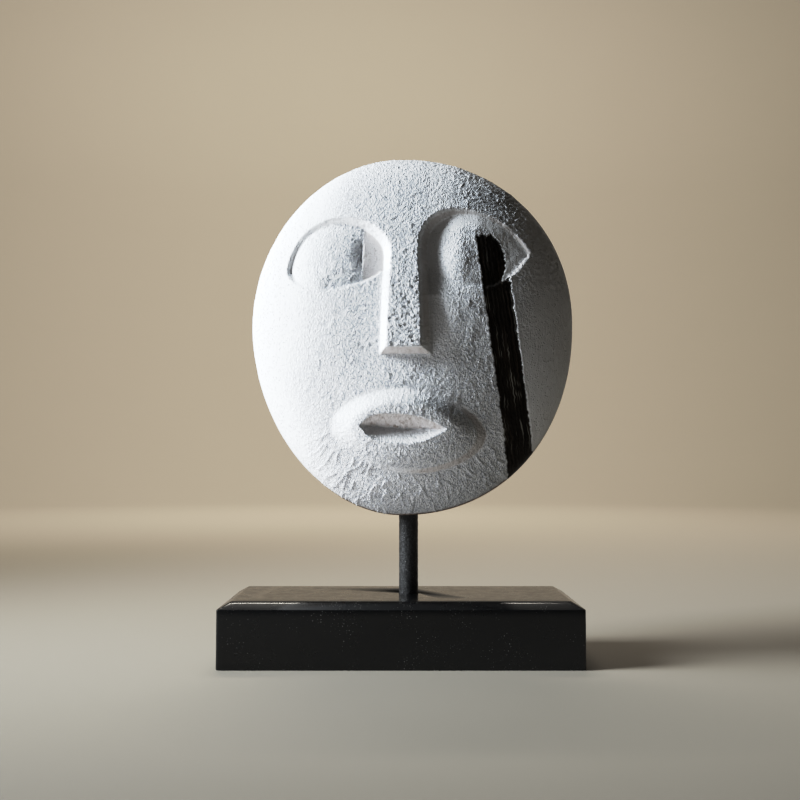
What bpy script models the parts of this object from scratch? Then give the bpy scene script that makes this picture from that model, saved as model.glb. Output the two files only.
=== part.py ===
"""A stylised face carved from one piece of wood, held by an iron rod in a wooden block.

Metres, +Z up. The origin is the middle of the block's underside, and the face looks along -Y.
The mask is worked out in its own flat map, where x runs from -1 to 1 across its width and z
from -1 at the chin to 1 at the crown, so that the carving keeps its place at any size.
"""

import math

import bmesh
import bpy
import numpy as np
from mathutils import Vector
from mathutils.geometry import delaunay_2d_cdt

# The block
BLOCK_WIDTH = 0.250
BLOCK_DEPTH = 0.100
BLOCK_HEIGHT = 0.045
CHAMFER_INSET = 0.0085
CHAMFER_DROP = 0.0045
BLOCK_CORNER_RADIUS = 0.0020

# The rod, and how deep it is let into the wood at each end
ROD_DIAMETER = 0.014
ROD_SHOWING = 0.057
ROD_IN_BLOCK = 0.028
ROD_IN_MASK = 0.030
ROD_ASIDE = 0.0055
FIT_GAP = 0.0003

# The mask: its rise is how far the face swells ahead of its widest line, and its side how
# far it runs back from there
MASK_WIDTH = 0.2315
MASK_HEIGHT = 0.2580
MASK_RISE = 0.057
MASK_SIDE = 0.027
MASK_WALL = 0.016
RIM_WIDTH = 0.014
BACK_EDGE_RADIUS = 0.003
CHIN_COVER = 0.015
MASK_TURN = math.radians(5.0)
WIDEST_LINE_AHEAD = 0.012
MASK_ASIDE = 0.0015

# The mask's outline: four quarters of a squared ellipse about one point, each with its own
# exponent, and how much narrower the back is than the widest line
OUTLINE_X = -0.066
OUTLINE_Z = 0.058
SQUARENESS = {(-1, 1): 1.97, (1, 1): 2.07, (-1, -1): 1.91, (1, -1): 2.14}
BACK_NARROWING = 0.040

# The nose, a flat-fronted wedge that widens and rises to its tip
NOSE_X = 0.004
NOSE_TOP = 0.438
NOSE_TIP = -0.114
NOSE_HALF_TOP = 0.079
NOSE_HALF_TIP = 0.100
NOSE_RISE = 0.165
NOSE_SIDE_RUN = 0.056
NOSE_UNDER_RUN = 0.036

# Each eye from its outer corner: the brow and the lid are curves with two handles, and
# the brow ends where it turns down into the nose's edge
RIGHT_CORNER = (0.742, 0.407)
LEFT_CORNER = (-0.726, 0.322)
RIGHT_BROW = (RIGHT_CORNER, (0.505, 0.745), (NOSE_HALF_TOP, 0.699), (NOSE_HALF_TOP, NOSE_TOP))
LEFT_BROW = (LEFT_CORNER, (-0.664, 0.740), (-NOSE_HALF_TOP, 0.643), (-NOSE_HALF_TOP, 0.382))
RIGHT_LID = (RIGHT_CORNER, (0.483, -0.015), (0.150, 0.351), (0.139, 0.305))
LEFT_LID = (LEFT_CORNER, (-0.622, 0.102), (-0.198, 0.224), (-0.144, 0.289))
BROW_RUN_OUTER = 0.022
LID_RUN = 0.020
LID_DEPTH = 0.020
RIGHT_SOCKET_DEPTH = 0.155
RIGHT_SOCKET_Z = (0.060, 0.330)
RIGHT_FLUSH_X = 0.450
RIGHT_FLUSH_Z = (0.420, 0.540)
RIGHT_LID_SHOWS = (0.280, 0.400)
RIGHT_OUTER_DEPTH = 0.030
RIGHT_CORNER_DEPTH = 0.012
LEFT_SOCKET_DEPTH = 0.195
LEFT_BALL_DROP = 0.100
LEFT_OUTER_DEPTH = 0.055
LEFT_EDGE_DEPTH = 0.045

# The eyeballs: the right one is round, and the left one has a straight ridge up its front
RIGHT_BALL = (0.382, 0.344)
RIGHT_BALL_HALF = (0.208, 0.201)
BALL_POINTEDNESS = 1.9
LEFT_CREST_X = -0.500
LEFT_LID_LOST_X = (-0.700, -0.640, -0.520, -0.440)
LEFT_LID_LOST_Z = (0.250, 0.320)
LEFT_RIDGE_X = -0.263
LEFT_MIDDLE_Z = 0.344
RIDGE_GROOVE_DEPTH = 0.048
RIDGE_GROOVE_RUN = 0.072
RIDGE_GROOVE_SHARP_RUN = 0.014
RIDGE_GROOVE_Z = 0.395
RIDGE_GROOVE_HALF = 0.095
LEFT_HALF_HEIGHT = 0.201

# The cheeks are hollowed beside the nose, and the hollow runs out towards the mouth
CHEEK_DEPTH = 0.045
CHEEK_REACH = (0.450, 0.300)
CHEEK_LOWER_END = -0.340
CHEEK_FULL_FROM = -0.110

# The lips stand out in a tilted oval, and the mouth is a V cut across them
LIPS_CENTRE = (0.006, -0.542)
LIPS_HALF = (0.462, 0.224)
LIPS_TILT = -0.055
LIPS_SQUARENESS = 1.80
LIPS_EDGE_RUN = 0.400
LIPS_EDGE_RISE = 0.150
LIPS_CROWN_RISE = 0.055
LIPS_STEEP_SIDE = (0.640, -0.770)
MOUTH_CENTRE = (-0.008, -0.526)
MOUTH_HALF_WIDTH = 0.252
MOUTH_BLUNTNESS = 4.2
MOUTH_UPPER = 0.070
MOUTH_LOWER = 0.083
MOUTH_TILT = -0.040
MOUTH_DEPTH = 0.250

# The reeded stripe runs from the right eye over the lid and down the cheek to the rim
STRIPE_START = (0.413, 0.510)
STRIPE_LEAN = -0.147
STRIPE_WIDTH = 0.166
STRIPE_DEPTH = 0.020
STRIPE_EDGE_RUN = 0.012
REED_COUNT = 8
REED_HEIGHT = 0.014
STRIPE_FADES = (0.980, 0.995)

# How finely the shapes are faceted. The grid of facets covers the map out to a little beyond
# its edge, stops short of the rim, keeps clear of the folds by a share of its step, and is
# finer where the carving differs from the plain swell by more than a share of the rise
RIM_POINTS = 96
FACET_SIZE = 0.0036
GRID_BEYOND = 1.200
GRID_ENDS = 0.955
FOLD_CLEARANCE = 0.600
CARVED_FROM = 0.010
RIDGE_LINE_SHARE = 0.850
BEYOND_MAP = 2.0
SIDE_RINGS = 4
HOLLOW_RINGS = 8
ROD_SIDES = 32
CORNER_STEPS = 4
SHARP_FROM = math.radians(40.0)

CENTRE = np.array([OUTLINE_X, OUTLINE_Z])
HALF_SIZE = np.array([MASK_WIDTH, MASK_HEIGHT]) / 2
CHIN_Z = BLOCK_HEIGHT + ROD_SHOWING


def share(value, start, end):
    """How far value has got from start to end, held between 0 and 1."""
    return np.clip((value - start) / (end - start), 0.0, 1.0)


def ease(value, start, end):
    """As share, but setting off and arriving smoothly."""
    t = share(value, start, end)
    return t * t * (3 - 2 * t)


def curve_points(handles, count):
    """Points along a cubic curve from its first handle to its last."""
    a, b, c, d = (np.array(h) for h in handles)
    t = np.linspace(0, 1, count)[:, None]
    return (1 - t) ** 3 * a + 3 * (1 - t) ** 2 * t * b + 3 * (1 - t) * t**2 * c + t**3 * d


def straight_points(start, end, count):
    """Points along a straight line, both ends included."""
    t = np.linspace(0, 1, count)[:, None]
    return (1 - t) * np.array(start) + t * np.array(end)


def distance_to(points, line):
    """The distance from each point to a line of many points, measured in half widths."""
    stretch = np.array([1.0, HALF_SIZE[1] / HALF_SIZE[0]])
    p = points * stretch
    nearest = np.full(len(p), np.inf)
    for start, end in zip(line[:-1] * stretch, line[1:] * stretch):
        along = end - start
        t = np.clip((p - start) @ along / (along @ along), 0.0, 1.0)
        gap = np.linalg.norm(p - start - t[:, None] * along, axis=1)
        nearest = np.minimum(nearest, gap)
    return nearest


def inside(points, loop):
    """Which points lie inside a closed loop."""
    x, z = points[:, 0], points[:, 1]
    found = np.zeros(len(points), bool)
    for (x0, z0), (x1, z1) in zip(loop, np.roll(loop, -1, axis=0)):
        crosses = (z0 > z) != (z1 > z)
        rise = z1 - z0 if z1 != z0 else 1.0
        found ^= crosses & (x < x0 + (z - z0) / rise * (x1 - x0))
    return found


def quarter(points):
    """Each point's quarter of the outline: its half sizes and its exponent."""
    to_right = points[:, 0] >= OUTLINE_X
    above = points[:, 1] >= OUTLINE_Z
    half_x = np.where(to_right, 1 - OUTLINE_X, 1 + OUTLINE_X)
    half_z = np.where(above, 1 - OUTLINE_Z, 1 + OUTLINE_Z)
    sides = zip(np.where(to_right, 1, -1), np.where(above, 1, -1))
    exponent = np.array([SQUARENESS[(int(a), int(b))] for a, b in sides])
    return half_x, half_z, exponent


def rim_share(points):
    """0 at the outline's middle and 1 on the outline."""
    half_x, half_z, n = quarter(points)
    dx = np.abs(points[:, 0] - OUTLINE_X) / half_x
    dz = np.abs(points[:, 1] - OUTLINE_Z) / half_z
    return (dx**n + dz**n) ** (1 / n)


def flatten(points):
    """Spreads the face's steep edge out, so that equal steps on the map are like steps on the wood."""
    rho = np.clip(rim_share(points), 1e-9, 1.0)
    return CENTRE + (points - CENTRE) * (np.arcsin(rho) * 2 / math.pi / rho)[:, None]


def fold_up(points):
    """The opposite of flatten."""
    t = np.clip(rim_share(points), 1e-9, 1.0)
    return CENTRE + (points - CENTRE) * (np.sin(t * math.pi / 2) / t)[:, None]


def outline_points(count):
    """Points round the widest line, anticlockwise from the right."""
    angle = np.arange(count) * 2 * math.pi / count
    direction = np.stack([np.cos(angle), np.sin(angle)], axis=1)
    reach = np.array(quarter(CENTRE + direction * 1e-6)[:2]).T
    start = CENTRE + direction * reach
    return CENTRE + direction * reach / rim_share(start)[:, None]


def nose_half_width(z):
    """Half the width of the nose's flat front at height z."""
    return NOSE_HALF_TOP + (NOSE_HALF_TIP - NOSE_HALF_TOP) * share(z, NOSE_TOP, NOSE_TIP)


def brow_and_nose_edge(brow, side, count=26):
    """The edge of the forehead from the outer eye corner, over the eye and down the nose."""
    arc = curve_points(brow, count)
    tip = (NOSE_X + side * NOSE_HALF_TIP, NOSE_TIP)
    return np.vstack([arc, straight_points(arc[-1], tip, count // 3)[1:]])


def forehead_loop():
    """The forehead and the nose's front as one area, with the nose run on below its tip."""
    right = brow_and_nose_edge(RIGHT_BROW, 1)
    left = brow_and_nose_edge(LEFT_BROW, -1)
    far = BEYOND_MAP
    return np.vstack(
        [
            [(far, RIGHT_BROW[0][1])],
            right,
            [(right[-1][0], -far), (left[-1][0], -far)],
            left[::-1],
            [(-far, LEFT_BROW[0][1]), (-far, far), (far, far)],
        ]
    )


def wall_run(x):
    """How wide the sloping wall under the brow is, from the nose's side out to the eye corner."""
    inner_end = abs(RIGHT_BROW[3][0])
    outer_end = abs(RIGHT_BROW[0][0])
    return NOSE_SIDE_RUN + (BROW_RUN_OUTER - NOSE_SIDE_RUN) * ease(np.abs(x), inner_end, outer_end)


def below_brow(points):
    """0 on the forehead and the nose's front, 1 at the foot of the wall round them."""
    loop = forehead_loop()
    outside = ~inside(points, loop)
    gap = distance_to(points, np.vstack([loop, loop[:1]]))
    sides = np.where(outside, np.clip(gap / wall_run(points[:, 0]), 0, 1), 0.0)
    under = share(points[:, 1], NOSE_TIP, NOSE_TIP - NOSE_UNDER_RUN)
    return np.maximum(sides, under)


def lid_line(brow, lid, count=24):
    """The lower lid from the outer corner in, and on to the nose's edge."""
    at_nose = (brow[3][0], lid[3][1])
    return np.vstack([curve_points(lid, count), [at_nose]])


def in_eye(points, brow, lid):
    """0 outside the lid, and 1 past the small wall inside it."""
    line = lid_line(brow, lid)
    above_lid = inside(points, np.vstack([curve_points(brow, 26), line[::-1]]))
    return np.where(above_lid, np.clip(distance_to(points, line) / LID_RUN, 0, 1), 0.0)


def cheek_depth(points):
    """How far the cheeks are hollowed, in rises of the mask: the right eye's socket runs down in."""
    x = np.abs(points[:, 0] - NOSE_X)
    reach = np.where(points[:, 0] < NOSE_X, *CHEEK_REACH)
    beside = 1 - ease(x, NOSE_HALF_TIP + NOSE_SIDE_RUN, reach)
    cheek = CHEEK_DEPTH * beside * ease(points[:, 1], CHEEK_LOWER_END, CHEEK_FULL_FROM)
    socket = 1 - ease(np.where(points[:, 0] > 0, points[:, 0], 1.0), NOSE_HALF_TOP, RIGHT_FLUSH_X)
    return np.maximum(cheek, RIGHT_SOCKET_DEPTH * socket * ease(points[:, 1], *RIGHT_SOCKET_Z))


def ball_share(points):
    """0 at the middle of the right eyeball and 1 at its edge."""
    return np.linalg.norm((points - np.array(RIGHT_BALL)) / np.array(RIGHT_BALL_HALF), axis=1)


def right_eye_depth(points):
    """A round ball in a socket that is deep by the nose and comes up flush above the ball."""
    x, z = points[:, 0], points[:, 1]
    ball_edge = RIGHT_BALL[0] + RIGHT_BALL_HALF[0]
    outer = RIGHT_OUTER_DEPTH * share(x, RIGHT_BALL[0], ball_edge)
    outer += (RIGHT_CORNER_DEPTH - RIGHT_OUTER_DEPTH) * share(x, ball_edge, RIGHT_CORNER[0])
    flush = ease(z, *RIGHT_FLUSH_Z)
    bulge = np.clip(1 - ball_share(points) ** 2, 0, 1) ** BALL_POINTEDNESS
    lid = LID_DEPTH * ease(x, *RIGHT_LID_SHOWS)
    return (cheek_depth(points) + outer * (1 - flush)) * (1 - bulge) + lid


def left_eye_depth(points):
    """A ball that turns away from its crest to a ridge, and a flat flank from there to the nose."""
    x, z = points[:, 0], points[:, 1]
    foot = -NOSE_HALF_TOP - NOSE_SIDE_RUN
    inward = LEFT_BALL_DROP * share(x, LEFT_CREST_X, LEFT_RIDGE_X) ** 2
    inward += (LEFT_SOCKET_DEPTH - LEFT_BALL_DROP) * share(x, LEFT_RIDGE_X, foot)
    outward = LEFT_OUTER_DEPTH * share(x, LEFT_CREST_X, LEFT_CORNER[0]) ** 2
    upright = (z - LEFT_MIDDLE_Z) / LEFT_HALF_HEIGHT
    across = share(x, LEFT_CORNER[0], foot)
    edge = LEFT_EDGE_DEPTH * np.clip(upright**2, 0, 1) * 4 * across * (1 - across)
    tall = np.clip(1 - ((z - RIDGE_GROOVE_Z) / RIDGE_GROOVE_HALF) ** 2, 1e-6, 1)
    groove = share(x, LEFT_RIDGE_X - RIDGE_GROOVE_RUN * np.sqrt(tall), LEFT_RIDGE_X) ** 2
    groove *= share(x, LEFT_RIDGE_X + RIDGE_GROOVE_SHARP_RUN, LEFT_RIDGE_X) * tall
    lost = ease(x, *LEFT_LID_LOST_X[:2]) * (1 - ease(x, *LEFT_LID_LOST_X[2:]))
    lost *= 1 - ease(z, *LEFT_LID_LOST_Z)
    return inward + outward + (edge + LID_DEPTH) * (1 - lost) + RIDGE_GROOVE_DEPTH * groove


def lips_share(points):
    """0 at the middle of the lips and 1 on their outline."""
    x = points[:, 0] - LIPS_CENTRE[0]
    z = points[:, 1] - LIPS_CENTRE[1] - LIPS_TILT * x
    n = LIPS_SQUARENESS
    return (np.abs(x / LIPS_HALF[0]) ** n + np.abs(z / LIPS_HALF[1]) ** n) ** (1 / n)


def lips_rise(points):
    """How far the lips stand out, in rises of the mask: steeply at the lower right, else softly."""
    s = lips_share(points)
    across = (points - np.array(LIPS_CENTRE)) / np.array(LIPS_HALF)
    steep = share(across @ np.array(LIPS_STEEP_SIDE), 0, 1)
    t = share(s, 1, 1 - LIPS_EDGE_RUN)
    edge = LIPS_EDGE_RISE * (t * t * (3 - 2 * t) * (1 - steep) + t * (2 - t) * steep)
    return edge + LIPS_CROWN_RISE * np.clip(1 - s * s, 0, 1)


def mouth_open(x):
    """How far open the mouth is, from 0 at its corners to 1: the left end is blunter."""
    u = (x - MOUTH_CENTRE[0]) / MOUTH_HALF_WIDTH
    return np.clip(1 - np.abs(u) ** np.where(u < 0, MOUTH_BLUNTNESS, 2.0), 0, 1)


def mouth_cut(points):
    """The V cut: nothing at the edge of the opening, and deepest along its middle."""
    x = points[:, 0] - MOUTH_CENTRE[0]
    z = points[:, 1] - MOUTH_CENTRE[1] - MOUTH_TILT * x
    half = np.where(z > 0, MOUTH_UPPER, MOUTH_LOWER) * mouth_open(points[:, 0])
    inner = np.clip(half - np.abs(z), 0, None)
    return MOUTH_DEPTH * inner / MOUTH_LOWER


def stripe_across(points):
    """How far across the stripe each point is: 0 at its left border and 1 at its right."""
    left = STRIPE_START[0] + STRIPE_LEAN * (points[:, 1] - STRIPE_START[1])
    return (points[:, 0] - left) / STRIPE_WIDTH


def stripe_share(points):
    """1 on the stripe, 0 off it, with narrow slopes at its borders."""
    across = stripe_across(points)
    run = STRIPE_EDGE_RUN / STRIPE_WIDTH
    band = np.clip(np.minimum(across, 1 - across) / run, 0, 1)
    top = share(points[:, 1], STRIPE_START[1], STRIPE_START[1] - STRIPE_EDGE_RUN)
    on_ball = share(ball_share(points), 1, 1 - STRIPE_EDGE_RUN / RIGHT_BALL_HALF[0])
    on_eye = in_eye(points, RIGHT_BROW, RIGHT_LID)
    return band * top * (1 - on_eye * (1 - on_ball)) * (1 - share(rim_share(points), *STRIPE_FADES))


def stripe_relief(points):
    """The stripe's sunken bed with its reeds, in rises of the mask."""
    reeds = 0.5 - 0.5 * np.cos(stripe_across(points) * REED_COUNT * 2 * math.pi)
    return stripe_share(points) * (REED_HEIGHT * reeds - STRIPE_DEPTH)


def face_depth(points):
    """How far the carved face stands ahead of the mask's widest line, in metres."""
    dome = np.sqrt(np.clip(1 - rim_share(points) ** 2, 0, 1))
    nose = NOSE_RISE * share(points[:, 1], NOSE_TOP, NOSE_TIP)
    wall = below_brow(points)
    sunk = cheek_depth(points)
    for eye, brow, lid in (
        (right_eye_depth, RIGHT_BROW, RIGHT_LID),
        (left_eye_depth, LEFT_BROW, LEFT_LID),
    ):
        part = in_eye(points, brow, lid)
        sunk = sunk * (1 - part) + eye(points) * part
    near_nose = np.abs(points[:, 0] - NOSE_X) < nose_half_width(points[:, 1]) + NOSE_SIDE_RUN
    nose = np.where(near_nose, nose, 0.0)
    carved = dome + nose * (1 - wall) - sunk * wall
    carved += lips_rise(points) - mouth_cut(points) + stripe_relief(points)
    return MASK_RISE * carved


def step_in(line, run, towards):
    """A line moved sideways by run, to the side where the point towards lies."""
    stretch = np.array([1.0, HALF_SIZE[1] / HALF_SIZE[0]])
    p = line * stretch
    along = np.gradient(p, axis=0)
    along /= np.linalg.norm(along, axis=1)[:, None]
    sideways = np.stack([-along[:, 1], along[:, 0]], axis=1)
    middle = len(p) // 2
    if sideways[middle] @ (np.array(towards) * stretch - p[middle]) < 0:
        sideways = -sideways
    return (p + sideways * np.broadcast_to(run, len(p))[:, None]) / stretch


def oval(share_of_lips, count=44):
    """A line round the lips at one share of their size."""
    angle = np.arange(count + 1) * 2 * math.pi / count
    unit = np.stack([np.cos(angle), np.sin(angle)], axis=1) * np.array(LIPS_HALF)
    points = np.array(LIPS_CENTRE) + unit + np.outer(unit[:, 0], (0, LIPS_TILT))
    scale = share_of_lips / lips_share(points)
    offset = points - np.array(LIPS_CENTRE)
    return np.array(LIPS_CENTRE) + offset * scale[:, None]


def mouth_lines(count=15):
    """The upper edge, the lower edge and the crease of the mouth."""
    x = np.linspace(-MOUTH_HALF_WIDTH, MOUTH_HALF_WIDTH, count)
    open_share = mouth_open(MOUTH_CENTRE[0] + x)
    middle = MOUTH_CENTRE[1] + MOUTH_TILT * x
    heights = (middle + MOUTH_UPPER * open_share, middle - MOUTH_LOWER * open_share, middle)
    return [np.stack([MOUTH_CENTRE[0] + x, z], axis=1) for z in heights]


def stripe_lines(count=15):
    """Lines along the stripe: its borders, and each reed's crest and the valley beside it."""
    run = STRIPE_EDGE_RUN / STRIPE_WIDTH
    crossings = [0.0, 1.0] + [k / REED_COUNT for k in range(1, REED_COUNT)]
    crossings += [(k + 0.5) / REED_COUNT for k in range(REED_COUNT)] + [run, 1 - run]
    lines = []
    for across in crossings:
        z = np.linspace(STRIPE_START[1], -1.0, count)
        x = STRIPE_START[0] + STRIPE_LEAN * (z - STRIPE_START[1]) + across * STRIPE_WIDTH
        line = np.stack([x, z], axis=1)
        lines.append(line[rim_share(line) < STRIPE_FADES[0]])
    return lines


def carving_lines():
    """Every line along which the face folds, so that its edges stay crisp."""
    lines = [oval(1 - k * LIPS_EDGE_RUN / 3) for k in range(4)] + [*mouth_lines(), *stripe_lines()]
    eyes = ((RIGHT_BROW, RIGHT_LID, 1), (LEFT_BROW, LEFT_LID, -1))
    for brow, lid, side in eyes:
        edge = brow_and_nose_edge(brow, side)
        eye_middle = (side * RIGHT_BALL[0], RIGHT_BALL[1])
        lines.append(edge)
        lines.append(step_in(edge, wall_run(edge[:, 0]), eye_middle)[2:])
        lower = lid_line(brow, lid, 20)
        lines.append(lower)
        lines.append(step_in(lower[:-1], LID_RUN, eye_middle)[2:])
    tip_left = (NOSE_X - NOSE_HALF_TIP, NOSE_TIP)
    tip_right = (NOSE_X + NOSE_HALF_TIP, NOSE_TIP)
    foot = np.array([NOSE_SIDE_RUN, -NOSE_UNDER_RUN])
    foot_left = tip_left + foot * (-1, 1)
    foot_right = tip_right + foot
    lines.append(straight_points(tip_left, tip_right, 6))
    lines.append(straight_points(foot_left, foot_right, 8))
    half_ridge = RIDGE_LINE_SHARE * LEFT_HALF_HEIGHT
    ridge_top = (LEFT_RIDGE_X, LEFT_MIDDLE_Z + half_ridge)
    lines.append(straight_points((LEFT_RIDGE_X, LEFT_MIDDLE_Z - half_ridge), ridge_top, 10))
    return lines


def map_points(lines):
    """Points between the lines on a triangular grid, twice as close where the face is carved."""
    step = FACET_SIZE / HALF_SIZE[0]
    row = step * math.sqrt(0.75) * HALF_SIZE[0] / HALF_SIZE[1]
    reach_z = int(GRID_BEYOND / row)
    reach_x = int(GRID_BEYOND / step)
    grid = [
        (i * step + j * step / 2 - OUTLINE_X, j * row, i % 2 == 0 and j % 2 == 0)
        for j in range(-reach_z, reach_z)
        for i in range(-reach_x - j // 2, reach_x - j // 2)
    ]
    spots = np.array([(x, z) for x, z, _ in grid])
    wide = np.array([w for _, _, w in grid])
    kept = rim_share(spots) < GRID_ENDS
    spots, wide = spots[kept], wide[kept]
    places = fold_up(spots)
    dome = MASK_RISE * np.sqrt(1 - rim_share(places) ** 2)
    carved = np.abs(face_depth(places) - dome) > CARVED_FROM * MASK_RISE
    spots = spots[carved | wide]
    clear = np.ones(len(spots), bool)
    for line in lines:
        clear &= distance_to(spots, line) > FOLD_CLEARANCE * step
    return spots[clear]


def mask_front(mesh):
    """The carved face. It returns the points of its rim in order."""
    lines = [flatten(line) for line in carving_lines()]
    coords = list(outline_points(RIM_POINTS))
    edges = [(i, (i + 1) % RIM_POINTS) for i in range(RIM_POINTS)]
    for line in lines:
        start = len(coords)
        coords += list(line)
        edges += [(i, i + 1) for i in range(start, len(coords) - 1)]
    coords += list(map_points(lines))
    scaled = [Vector(c * HALF_SIZE) for c in coords]
    loop = [list(range(RIM_POINTS))]
    flat, _, faces, origin, _, _ = delaunay_2d_cdt(scaled, edges, loop, 1, 1e-5)
    spots = np.array([tuple(v) for v in flat]) / HALF_SIZE
    places = fold_up(spots)
    depth = face_depth(places)
    rim_of = {}
    for index, sources in enumerate(origin):
        for source in sources:
            if source < RIM_POINTS:
                rim_of[source] = index
    depth[list(rim_of.values())] = 0.0
    verts = [
        mesh.verts.new(in_place(place, -ahead)) for place, ahead in zip(places, depth)
    ]
    for face in faces:
        mesh.faces.new([verts[i] for i in face])
    return [verts[rim_of[i]] for i in range(RIM_POINTS)]


def in_place(place, back):
    """A point of the map as a point of the mask, back metres behind its widest line."""
    x, z = place * HALF_SIZE
    return (x, back, z + HALF_SIZE[1] + CHIN_Z)


def bridge(mesh, ring, places, backs):
    """Joins a ring of points to a new one at these places."""
    new = [mesh.verts.new(in_place(p, b)) for p, b in zip(places, backs)]
    for i, j in ((i, (i + 1) % len(ring)) for i in range(len(ring))):
        mesh.faces.new([ring[j], ring[i], new[i], new[j]])
    return new


def mask_side(mesh, ring):
    """The side from the widest line back to the rounded back edge."""
    outline = outline_points(RIM_POINTS)
    edge = BACK_EDGE_RADIUS
    straight = MASK_SIDE - edge
    shares = np.arange(1, SIDE_RINGS + 1) / SIDE_RINGS
    steps = [(straight * t, BACK_NARROWING * t * t, 0.0) for t in shares]
    for angle in (math.pi / 6, math.pi / 3, math.pi / 2):
        inward = edge * (1 - math.cos(angle))
        steps.append((straight + edge * math.sin(angle), BACK_NARROWING, inward))
    for back, narrowing, inward in steps:
        scale = 1 - narrowing - inward / HALF_SIZE[0]
        places = CENTRE + (outline - CENTRE) * scale
        ring = bridge(mesh, ring, places, [back] * RIM_POINTS)
    return ring


def mask_hollow(mesh, ring):
    """The flat rim and the hollow that leaves the wall, and solid wood round the rod's hole."""
    edge = BACK_NARROWING * HALF_SIZE + BACK_EDGE_RADIUS + RIM_WIDTH
    half_width = HALF_SIZE[0] - edge[0]
    top = MASK_HEIGHT - edge[1]
    bottom = ROD_IN_MASK + CHIN_COVER
    middle = np.array([0.0, (top + bottom) / MASK_HEIGHT - 1])
    half = np.array([half_width, (top - bottom) / 2]) / HALF_SIZE
    carved_in = RIGHT_SOCKET_DEPTH * MASK_RISE
    depth = MASK_SIDE + MASK_RISE - carved_in - MASK_WALL
    angle = np.arange(RIM_POINTS) * 2 * math.pi / RIM_POINTS
    unit = np.stack([np.cos(angle), np.sin(angle)], axis=1)
    for k in range(HOLLOW_RINGS):
        slope = k / HOLLOW_RINGS * math.pi / 2
        places = middle + unit * half * math.cos(slope)
        back = MASK_SIDE - depth * math.sin(slope)
        ring = bridge(mesh, ring, places, [back] * RIM_POINTS)
    pole = mesh.verts.new(in_place(middle, MASK_SIDE - depth))
    for i in range(RIM_POINTS):
        mesh.faces.new([ring[(i + 1) % RIM_POINTS], ring[i], pole])


def new_object(name, mesh, material):
    """Turns a finished bmesh into a named object with its own material."""
    bmesh.ops.recalc_face_normals(mesh, faces=mesh.faces)
    data = bpy.data.meshes.new(name)
    mesh.to_mesh(data)
    mesh.free()
    data.shade_smooth()
    data.set_sharp_from_angle(angle=SHARP_FROM)
    data.materials.append(material)
    made = bpy.data.objects.new(name, data)
    bpy.context.scene.collection.objects.link(made)
    return made


def new_material(name, colour, roughness, metallic=0.0):
    """A plain finish with one colour."""
    material = bpy.data.materials.new(name)
    material.use_nodes = True
    shader = material.node_tree.nodes["Principled BSDF"]
    shader.inputs["Base Color"].default_value = (*colour, 1.0)
    shader.inputs["Roughness"].default_value = roughness
    shader.inputs["Metallic"].default_value = metallic
    return material


def upright_cylinder(name, radius, bottom, top, material):
    """A round bar about the rod's axis."""
    mesh = bmesh.new()
    bmesh.ops.create_cone(
        mesh,
        cap_ends=True,
        segments=ROD_SIDES,
        radius1=radius,
        radius2=radius,
        depth=top - bottom,
    )
    bmesh.ops.translate(mesh, verts=mesh.verts, vec=(0, 0, (top + bottom) / 2))
    made = new_object(name, mesh, material)
    made.location.x = ROD_ASIDE
    return made


def cut_hole(piece, cutter):
    """Cuts the hidden cutter's shape out of a piece."""
    cutter.hide_render = True
    cutter.display_type = "WIRE"
    cut = piece.modifiers.new("rod hole", "BOOLEAN")
    cut.operation = "DIFFERENCE"
    cut.solver = "EXACT"
    cut.object = cutter


def rounded_rectangle(width, depth, radius):
    """A rectangle's outline with an arc at each corner, anticlockwise."""
    points = []
    for turn, (side_x, side_y) in enumerate(((1, 1), (-1, 1), (-1, -1), (1, -1))):
        for step in range(CORNER_STEPS + 1):
            angle = (turn + step / CORNER_STEPS) * math.pi / 2
            x = side_x * (width / 2 - radius) + radius * math.cos(angle)
            y = side_y * (depth / 2 - radius) + radius * math.sin(angle)
            points.append((x, y))
    return points


def make_block(material):
    """The wooden block, with a slope round its top."""
    mesh = bmesh.new()
    shoulder = BLOCK_HEIGHT - CHAMFER_DROP
    levels = ((0.0, 0.0), (shoulder, 0.0), (BLOCK_HEIGHT, CHAMFER_INSET))
    rings = []
    for height, inset in levels:
        width = BLOCK_WIDTH - 2 * inset
        depth = BLOCK_DEPTH - 2 * inset
        outline = rounded_rectangle(width, depth, BLOCK_CORNER_RADIUS)
        rings.append([mesh.verts.new((x, y, height)) for x, y in outline])
    count = len(rings[0])
    for lower, upper in zip(rings[:-1], rings[1:]):
        for i in range(count):
            j = (i + 1) % count
            mesh.faces.new([lower[i], lower[j], upper[j], upper[i]])
    mesh.faces.new(rings[0][::-1])
    mesh.faces.new(rings[-1])
    return new_object("base_block", mesh, material)


def make_mask(material):
    """The mask on its rod, turned a little to its own right."""
    mesh = bmesh.new()
    rim = mask_front(mesh)
    back_edge = mask_side(mesh, rim)
    mask_hollow(mesh, back_edge)
    mask = new_object("mask", mesh, material)
    mask.location = (ROD_ASIDE + MASK_ASIDE, -WIDEST_LINE_AHEAD, 0.0)
    mask.rotation_euler.z = -MASK_TURN
    return mask


def main():
    """Clears the scene and builds the mask, the rod and the block."""
    for old in list(bpy.data.objects):
        bpy.data.objects.remove(old, do_unlink=True)
    white = new_material("white_paint", (0.80, 0.80, 0.78), 0.9)
    iron = new_material("black_iron", (0.02, 0.02, 0.02), 0.55, 0.4)
    black = new_material("black_paint", (0.022, 0.023, 0.024), 0.5)
    foot = BLOCK_HEIGHT - ROD_IN_BLOCK
    head = CHIN_Z + ROD_IN_MASK
    radius = ROD_DIAMETER / 2
    upright_cylinder("rod", radius, foot, head, iron)
    hole = upright_cylinder("hole_cutter", radius + FIT_GAP, foot - FIT_GAP, head + FIT_GAP, iron)
    cut_hole(make_block(black), hole)
    cut_hole(make_mask(white), hole)


main()
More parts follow.
